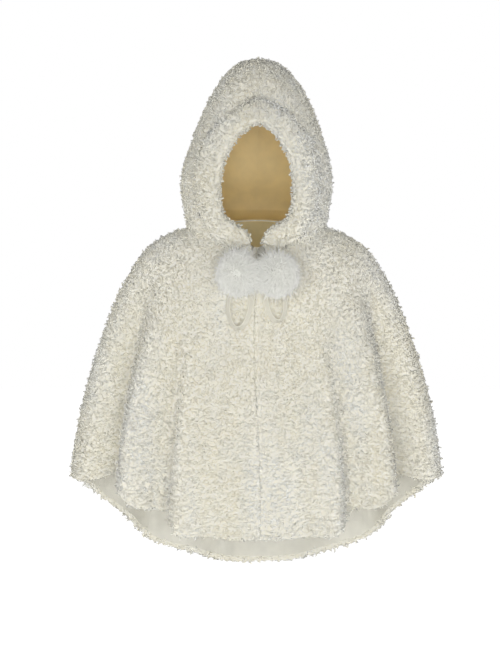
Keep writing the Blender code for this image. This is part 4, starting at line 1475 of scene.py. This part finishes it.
def brim_surface(name, outlines, first, side):
    """The outside of the brim and its lower end, which curls grow on."""
    bm = bmesh.new()
    heights, lows = [bm.verts.layers.float.new(layer) for layer in ("pile", "low")]
    tops = [[bm.verts.new(p) for p in points[first:] + points[:1]] for points in outlines]
    for row in tops:
        for j, v in enumerate(row):
            v[heights] = BRIM_PILE if j < len(row) - 2 else BRIM_EDGE
            v[lows] = 0.0
    for a, b in zip(tops, tops[1:]):
        for j in range(len(a) - 1):
            face = bm.faces.new((a[j], a[j + 1], b[j + 1], b[j]))
            if side == "right":
                face.normal_flip()
    end = bm.faces.new(tops[0])
    bm.normal_update()
    if end.normal.dot(tops[0][0].co - tops[1][0].co) < 0.0:
        end.normal_flip()
    surface = finished_mesh(bm, name)
    away = 0.0
    for face in surface.polygons:
        middle = Vector((0.0, HOOD_MIDDLE_Y, face.center.z))
        away += (face.center - middle).dot(face.normal) * face.area
    if away < 0.0:
        surface.flip_normals()
    return surface


def build_brim(side, seed):
    """One half of the turned-back brim: a folded cloth lofted through its sections, and its curls."""
    name = "hood_brim_" + side
    low, high = BRIM[0].edge_ring, BRIM[-1].edge_ring
    shares = [1.0 - (1.0 - i / BRIM_LINES) ** BRIM_SPACING for i in range(BRIM_LINES + 1)]
    numbers = [low + (high - low) * share for share in shares]
    outlines, first = brim_points(numbers, side)
    body = brim_body(name + "_cloth", outlines)
    surface = brim_surface(name + "_surface", outlines, first, side)
    cloth = new_piece(name + "_cloth", body, ["ground"])
    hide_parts(name)
    pieces = grow_fleece(name, surface, seed, BRIM_CURLS, BRIM_LOCKS, HOOD_HEIGHT)
    for piece in [cloth, *pieces]:
        lean_hood(piece)


# Bow


def ribbon_mesh(name, path, faces, width, thick):
    """A flat satin ribbon along a path with rolled edges, gathered to a pleat at both ends."""
    bm = bmesh.new()
    run = lengths(path)
    loops, flats = [], {}
    for i, p in enumerate(path):
        open_share = smooth_step(min(run[i], run[-1] - run[i]) / RIBBON_GATHER)
        wide = RIBBON_END + (width - RIBBON_END) * open_share
        along = path[min(len(path) - 1, i + 1)] - path[max(0, i - 1)]
        across = along.cross(faces[i]).normalized() * wide / 2.0
        up = across.cross(along).normalized()
        pleat = (1.0 - open_share) * RIBBON_PLEAT
        ring = []
        for layer, section in ((-1.0, RIBBON_SECTION), (1.0, RIBBON_SECTION[::-1])):
            for s in section:
                fold = pleat * math.cos(s.across * math.pi * 2.0)
                edge = RIBBON_EDGE if abs(s.across) == 1.0 else 1.0
                height = layer * thick / 2.0 * edge + fold + s.lift * thick * layer
                v = bm.verts.new(p + across * s.across + up * height)
                flats[v] = (s.across * width / 2.0, run[i])
                ring.append(v)
        loops.append(ring)
    loft(bm, loops)
    bm.faces.new(loops[0])
    bm.faces.new(loops[-1])
    lay_flat(bm, flats)
    bmesh.ops.recalc_face_normals(bm, faces=bm.faces)
    return finished_mesh(bm, name), run[-1]


def add_ribbon(node, path, faces):
    bow = bpy.context.scene.cape_bow
    name = node + "_ribbon"
    mesh, length = ribbon_mesh(name, path, faces, bow.width, bow.thick)
    piece = new_piece(name, mesh, ["ribbon"])
    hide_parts(node)


def build_loop(name, rows, ends):
    """A bow loop that lies over the chest, leaning on its edge."""
    width = bpy.context.scene.cape_bow.width
    points, faces = [], []
    middle_x = sum(row.x for row in rows) / len(rows)
    middle_z = sum(row.z for row in rows) / len(rows)
    for row in rows:
        lean = math.radians(row.lean)
        over = RIBBON_CLEAR + math.cos(lean) * width / 2.0 + row.over
        p, n = chest_point(row.x, row.z, over)
        sideways = Vector((row.x - middle_x, 0.0, row.z - middle_z))
        sideways = (sideways - n * sideways.dot(n)).normalized()
        points.append(p)
        faces.append(sideways * math.cos(lean) + n * math.sin(lean))
    points = [knot_exit(ends[0])] + points + [knot_exit(ends[1])]
    faces = [faces[0]] + faces + [faces[-1]]
    path = curve_through(points, LOOP_PIECES)
    add_ribbon(name, path, curve_through(faces, LOOP_PIECES))


def build_tail(side, pompom):
    """The ribbon from the knot into a pompom."""
    leaving = KNOT_ENDS["tail_" + side]
    tail = pompom.tail.normalized()
    reach = Vector((pompom.reach_x * tail.x, pompom.reach_y * tail.y, pompom.reach_z * tail.z))
    end = Vector((pompom.x, pompom.y, pompom.z)) + reach * POMPOM_CORE * pompom.tail_at + tail * END_GAP
    start = knot_exit(leaving)
    path = curve_through([start, (start + end) / 2.0 + TAIL_ARCH, end], TAIL_PIECES)
    add_ribbon("bow_tail_" + side, path, [TAIL_FACE] * len(path))


def build_tie(side):
    """The ribbon from the neck seam to the knot."""
    name = "tie_" + side
    leaving = KNOT_ENDS[name]
    start = chest_point(TIE_ROOTS[name][0], TIE_ROOTS[name][1], TIE_GAP)[0]
    end = knot_exit(leaving) + leaving.normalized() * END_GAP
    path = curve_through([start, end], TIE_PIECES)
    add_ribbon("neck_" + name, path, [TIE_FACE] * len(path))


def build_knot():
    """The knot: ribbon wrapped round itself, pleated where it is drawn in at top and bottom."""
    bm = bmesh.new()
    rounds, rises = KNOT_ROUNDS, KNOT_RISES
    grid, flats = [], {}
    for i in range(1, rises):
        t = math.pi * i / rises
        row = []
        for j in range(rounds):
            a = 2.0 * math.pi * j / rounds
            drawn_in = KNOT_PLEAT_MIDDLE + (1.0 - KNOT_PLEAT_MIDDLE) * abs(math.cos(t))
            pleats = KNOT_PLEAT * math.cos(KNOT_PLEATS * a + KNOT_PLEAT_TURN * math.cos(t)) * drawn_in
            wrap = 1.0 - pleats - KNOT_PLEAT
            d = Vector((math.sin(t) * math.cos(a), math.sin(t) * math.sin(a), math.cos(t)))
            p = KNOT + Vector((d.x * KNOT_SIZE.x, d.y * KNOT_SIZE.y, d.z * KNOT_SIZE.z)) * 0.5 * wrap
            v = bm.verts.new(p)
            lap = (KNOT_WRAPS * (i / rises + j / rounds)) % 1.0 - 0.5
            flats[v] = (lap * bpy.context.scene.cape_bow.width, a * KNOT_SIZE.x / 2.0)
            row.append(v)
        grid.append(row)
    ends = []
    for sign in (1.0, -1.0):
        v = bm.verts.new(KNOT + Vector((0.0, 0.0, sign * KNOT_SIZE.z * KNOT_END)))
        flats[v] = (0.0, sign * KNOT_SIZE.z / 2.0)
        ends.append(v)
    for a, b in zip(grid, grid[1:]):
        for j in range(rounds):
            k = (j + 1) % rounds
            bm.faces.new((a[j], b[j], b[k], a[k]))
    for j in range(rounds):
        k = (j + 1) % rounds
        bm.faces.new((ends[0], grid[0][j], grid[0][k]))
        bm.faces.new((ends[1], grid[-1][k], grid[-1][j]))
    lay_flat(bm, flats)
    bmesh.ops.recalc_face_normals(bm, faces=bm.faces)
    piece = new_piece("bow_knot_ribbon", finished_mesh(bm, "bow_knot_ribbon"), ["knot"])
    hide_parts("bow_knot")


# Pompoms


def build_pompom(row, seed):
    """One pompom: a core, its fur and a few longer wisps, pressed flatter in front."""
    bow = bpy.context.scene.cape_bow
    reach = Vector((row.reach_x, row.reach_y, row.reach_z))
    centre = Vector((row.x, row.y, row.z))
    bm = bmesh.new()
    bmesh.ops.create_icosphere(bm, subdivisions=4, radius=1.0)
    heights, lows = [bm.verts.layers.float.new(layer) for layer in ("pile", "low")]
    peaks = [peak for peak in PEAKS if peak.name == row.name]
    for v in bm.verts:
        d = v.co.normalized()
        v[heights] = 1.0 + sum(p.longer * max(0.0, d.dot(p.towards.normalized())) ** p.narrow for p in peaks)
        v[lows] = 0.0
        v.co = centre + Vector((d.x * reach.x, d.y * reach.y, d.z * reach.z)) * POMPOM_CORE
    for face in bm.faces:
        face.smooth = True
    core = finished_mesh(bm, row.name + "_core")
    surface, wisps = core.copy(), core.copy()
    heart = new_piece(row.name + "_core", core, ["fur"])
    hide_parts(row.name)
    for name, ground, settings in (
        ("_fur", surface, fur_settings(bow.fur_spacing, bow.fur_length, seed)),
        ("_wisps", wisps, fur_settings(WISP_SPACING, bow.fur_length, seed + WISP_SEEDS, WISP_LONGER)),
    ):
        fur = scattered(row.name + name, ground, settings, "fur")
        for v in fur.data.vertices:
            if v.co.y < centre.y:
                v.co.y = centre.y + (v.co.y - centre.y) * FRONT_FUR


def fur_settings(spacing, length, seed, longer=1.0):
    """Long strands that hang a little and gather in clumps."""
    return {
        "Shapes": strand_collection("pompom_strands", STRAND_LINES, STRAND_GIRTH, length),
        "Spacing": spacing,
        "Most per area": FULLEST / spacing**2,
        "Shortest": FUR_SHORTEST * longer,
        "Longest": FUR_LONGEST * longer,
        "Seed": seed,
        **FUR_LIE,
    }


# Stage


def area_light(row, power):
    """A soft rectangular light that points at the cape's middle line."""
    data = bpy.data.lights.new(row.name, "AREA")
    data.shape = "RECTANGLE"
    data.size, data.size_y = row.width, row.height
    data.energy = power
    made = bpy.data.objects.new(row.name, data)
    bpy.context.scene.collection.objects.link(made)
    made.location = row.place
    target = Vector((0.0, 0.0, row.target_z))
    made.rotation_euler = (target - Vector(row.place)).to_track_quat("-Z", "Y").to_euler()


def build_floor(stage):
    """A plain pale floor, wide enough to meet the pale room all round."""
    bm = bmesh.new()
    corners = [(-1.0, -1.0), (1.0, -1.0), (1.0, 1.0), (-1.0, 1.0)]
    bm.faces.new([bm.verts.new((x * FLOOR_HALF, y * FLOOR_HALF, stage.floor_z)) for x, y in corners])
    mesh = finished_mesh(bm, "studio_floor")
    made, tree, shader = new_material("studio_pale")
    values = {
        "Base Color": (0.93, 0.93, 0.93, 1.0),
        "Roughness": 0.9,
        "Specular IOR Level": 0.1,
        "Emission Color": ROOM_WHITE,
        "Emission Strength": stage.floor_glow,
    }
    set_inputs(tree, shader, values)
    mesh.materials.append(made)
    floor = bpy.data.objects.new("studio_floor", mesh)
    bpy.context.scene.collection.objects.link(floor)
    floor.visible_diffuse = False


def build_room(strength):
    """Soft light from all sides, in a room that looks as pale as the floor."""
    world = bpy.data.worlds.new("studio")
    world.use_nodes = True
    tree = world.node_tree
    seen = add_node(tree, "ShaderNodeLightPath")["Is Camera Ray"]
    glow = add_node(tree, "ShaderNodeMapRange", {"Value": seen, "To Min": strength})[0]
    set_inputs(tree, tree.nodes["Background"], {"Color": ROOM_WHITE, "Strength": glow})
    return world


# Settings


class CapeCloth(PropertyGroup):
    """Cloth of the cape."""

    ground: FloatProperty(
        name="Ground", description="Thickness of the cloth under the curls",
        default=0.0084, unit="LENGTH",
    )
    brim_sink: FloatProperty(
        name="Brim sink", description="Depth of the curls on the brim", default=0.0045, unit="LENGTH"
    )
    fleece_colour: FloatVectorProperty(
        name="Fleece", description="Colour of the curly fleece",
        default=(0.905, 0.904, 0.868), subtype="COLOR",
    )
    body_satin_colour: FloatVectorProperty(
        name="Body lining", description="Colour of the body's satin",
        default=(0.88, 0.86, 0.755), subtype="COLOR",
    )
    hood_satin_colour: FloatVectorProperty(
        name="Hood lining", description="Colour of the hood's satin",
        default=(0.97, 0.80, 0.43), subtype="COLOR",
    )


class CapeFleece(PropertyGroup):
    """Curls of the fleece."""

    spacing: FloatProperty(
        name="Spacing", description="Least distance between two curls", default=0.0043, unit="LENGTH"
    )
    shortest: FloatProperty(name="Shortest", description="Size of the smallest curls", default=0.80)
    longest: FloatProperty(name="Longest", description="Size of the largest curls", default=1.25)
    lock_spacing: FloatProperty(
        name="Lock spacing", description="Least distance between two of the longer locks",
        default=0.0090, unit="LENGTH",
    )
    height: FloatProperty(name="Height", description="How high the curls stand", default=0.62)
    spread: FloatProperty(
        name="Spread", description="How far curls tip to either side", default=0.35, subtype="ANGLE"
    )
    low_stretch: FloatProperty(
        name="Low stretch", description="How much longer the curls are low down", default=0.35
    )
    seed: IntProperty(name="Seed", description="Pattern of the curls", default=20)


class CapeBow(PropertyGroup):
    """Ribbon bow and pompoms."""

    width: FloatProperty(
        name="Ribbon width", description="Width of the satin ribbon", default=0.013, unit="LENGTH"
    )
    thick: FloatProperty(
        name="Ribbon thickness", description="Thickness of the ribbon", default=0.0012, unit="LENGTH"
    )
    ribbon_colour: FloatVectorProperty(
        name="Ribbon", description="Colour of the ribbon", default=(0.84, 0.81, 0.69), subtype="COLOR"
    )
    fur_length: FloatProperty(
        name="Fur length", description="Length of the pompoms' fur", default=0.0225, unit="LENGTH"
    )
    fur_spacing: FloatProperty(
        name="Fur spacing", description="Least distance between two strands",
        default=0.00080, unit="LENGTH",
    )
    fur_colour: FloatVectorProperty(
        name="Fur", description="Colour of the pompoms", default=(0.98, 0.98, 0.94), subtype="COLOR"
    )


class CapeStage(PropertyGroup):
    """Camera, light and floor."""

    distance: FloatProperty(
        name="Distance", description="From the camera to the cape", default=4.5, unit="LENGTH"
    )
    picture_height: FloatProperty(
        name="Picture height", description="Height of the picture at the cape",
        default=1.4448, unit="LENGTH",
    )
    look_x: FloatProperty(
        name="Middle x", description="Across, at the picture's middle", default=-0.0140, unit="LENGTH"
    )
    look_z: FloatProperty(
        name="Middle z", description="Height at the picture's middle", default=-0.2053, unit="LENGTH"
    )
    key_power: FloatProperty(
        name="Key light", description="Power of the main light", default=138.0, unit="POWER"
    )
    fill_power: FloatProperty(
        name="Fill light", description="Power of the lights from the sides", default=48.0, unit="POWER"
    )
    low_power: FloatProperty(
        name="Low light", description="Power of the light under the hem", default=30.0, unit="POWER"
    )
    rim_power: FloatProperty(
        name="Rim light", description="Power of the lights behind the cape", default=82.0, unit="POWER"
    )
    sky: FloatProperty(name="Room light", description="Strength of the light from all sides", default=0.13)
    floor_z: FloatProperty(name="Floor", description="Height of the floor", default=-1.35, unit="LENGTH")
    floor_glow: FloatProperty(name="Floor glow", description="Own light of the floor", default=1.0)


# Operators


class CapeMakeBody(Operator):
    """Make the two fronts and the back, with their curls and the back's lining"""

    bl_idname = "cape.make_body"
    bl_label = "Body"

    def execute(self, context):
        build_front("left")
        build_front("right")
        build_back_lining(build_back())
        return {"FINISHED"}


class CapeMakeHood(Operator):
    """Make the hood, its brim and its lining"""

    bl_idname = "cape.make_hood"
    bl_label = "Hood"

    def execute(self, context):
        for seed, side in enumerate(("left", "right"), start=5):
            build_hood_half(side, seed)
            build_hood_lining_half(side)
            build_brim(side, seed + 2)
        return {"FINISHED"}


class CapeMakeBow(Operator):
    """Make the ribbon bow"""

    bl_idname = "cape.make_bow"
    bl_label = "Bow"

    def execute(self, context):
        build_knot()
        build_loop("bow_loop_right", LOOP_RIGHT, KNOT_ENDS["loop_right"])
        build_loop("bow_loop_left", LOOP_LEFT, KNOT_ENDS["loop_left"])
        for pompom, side in zip(POMPOMS, ("right", "left")):
            build_tail(side, pompom)
            build_tie(side)
        return {"FINISHED"}


class CapeMakePompoms(Operator):
    """Make the two fur pompoms"""

    bl_idname = "cape.make_pompoms"
    bl_label = "Pompoms"

    def execute(self, context):
        for seed, pompom in enumerate(POMPOMS, start=31):
            build_pompom(pompom, seed)
        return {"FINISHED"}


class CapeMakeStage(Operator):
    """Make the floor, the lights and the camera"""

    bl_idname = "cape.make_stage"
    bl_label = "Stage"

    def execute(self, context):
        stage = context.scene.cape_stage
        build_floor(stage)
        for light in LIGHTS:
            area_light(light, getattr(stage, light.power))
        context.scene.world = build_room(stage.sky)
        context.scene.view_settings.view_transform = "Standard"
        data = bpy.data.cameras.new("camera")
        data.sensor_width = 36.0
        data.lens = data.sensor_width * stage.distance / stage.picture_height
        data.clip_start, data.clip_end = 0.1, 100.0
        camera = bpy.data.objects.new("camera", data)
        context.scene.collection.objects.link(camera)
        camera.location = (stage.look_x, -stage.distance, stage.look_z)
        camera.rotation_euler = (math.pi / 2.0, 0.0, 0.0)
        context.scene.camera = camera
        return {"FINISHED"}


class CapePanel(Panel):
    """The steps that make the cape, in order"""

    bl_idname = "VIEW3D_PT_cape"
    bl_label = "Hooded Cape"
    bl_space_type = "VIEW_3D"
    bl_region_type = "UI"
    bl_category = "Cape"

    def draw(self, context):
        for step in STEPS:
            self.layout.operator(step.bl_idname)


STEPS = (CapeMakeStage, CapeMakeBody, CapeMakeHood, CapeMakeBow, CapeMakePompoms)
SETTINGS = (
    ("cape_cloth", CapeCloth),
    ("cape_fleece", CapeFleece),
    ("cape_bow", CapeBow),
    ("cape_stage", CapeStage),
)


def register():
    for name, group in SETTINGS:
        bpy.utils.register_class(group)
        setattr(bpy.types.Scene, name, PointerProperty(type=group))
    for step in STEPS:
        bpy.utils.register_class(step)
    bpy.utils.register_class(CapePanel)


def unregister():
    bpy.utils.unregister_class(CapePanel)
    for step in reversed(STEPS):
        bpy.utils.unregister_class(step)
    for name, group in reversed(SETTINGS):
        delattr(bpy.types.Scene, name)
        bpy.utils.unregister_class(group)


def main():
    register()
    bpy.ops.cape.make_stage()
    bpy.ops.cape.make_body()
    bpy.ops.cape.make_hood()
    bpy.ops.cape.make_bow()
    bpy.ops.cape.make_pompoms()


if __name__ == "__main__":
    main()
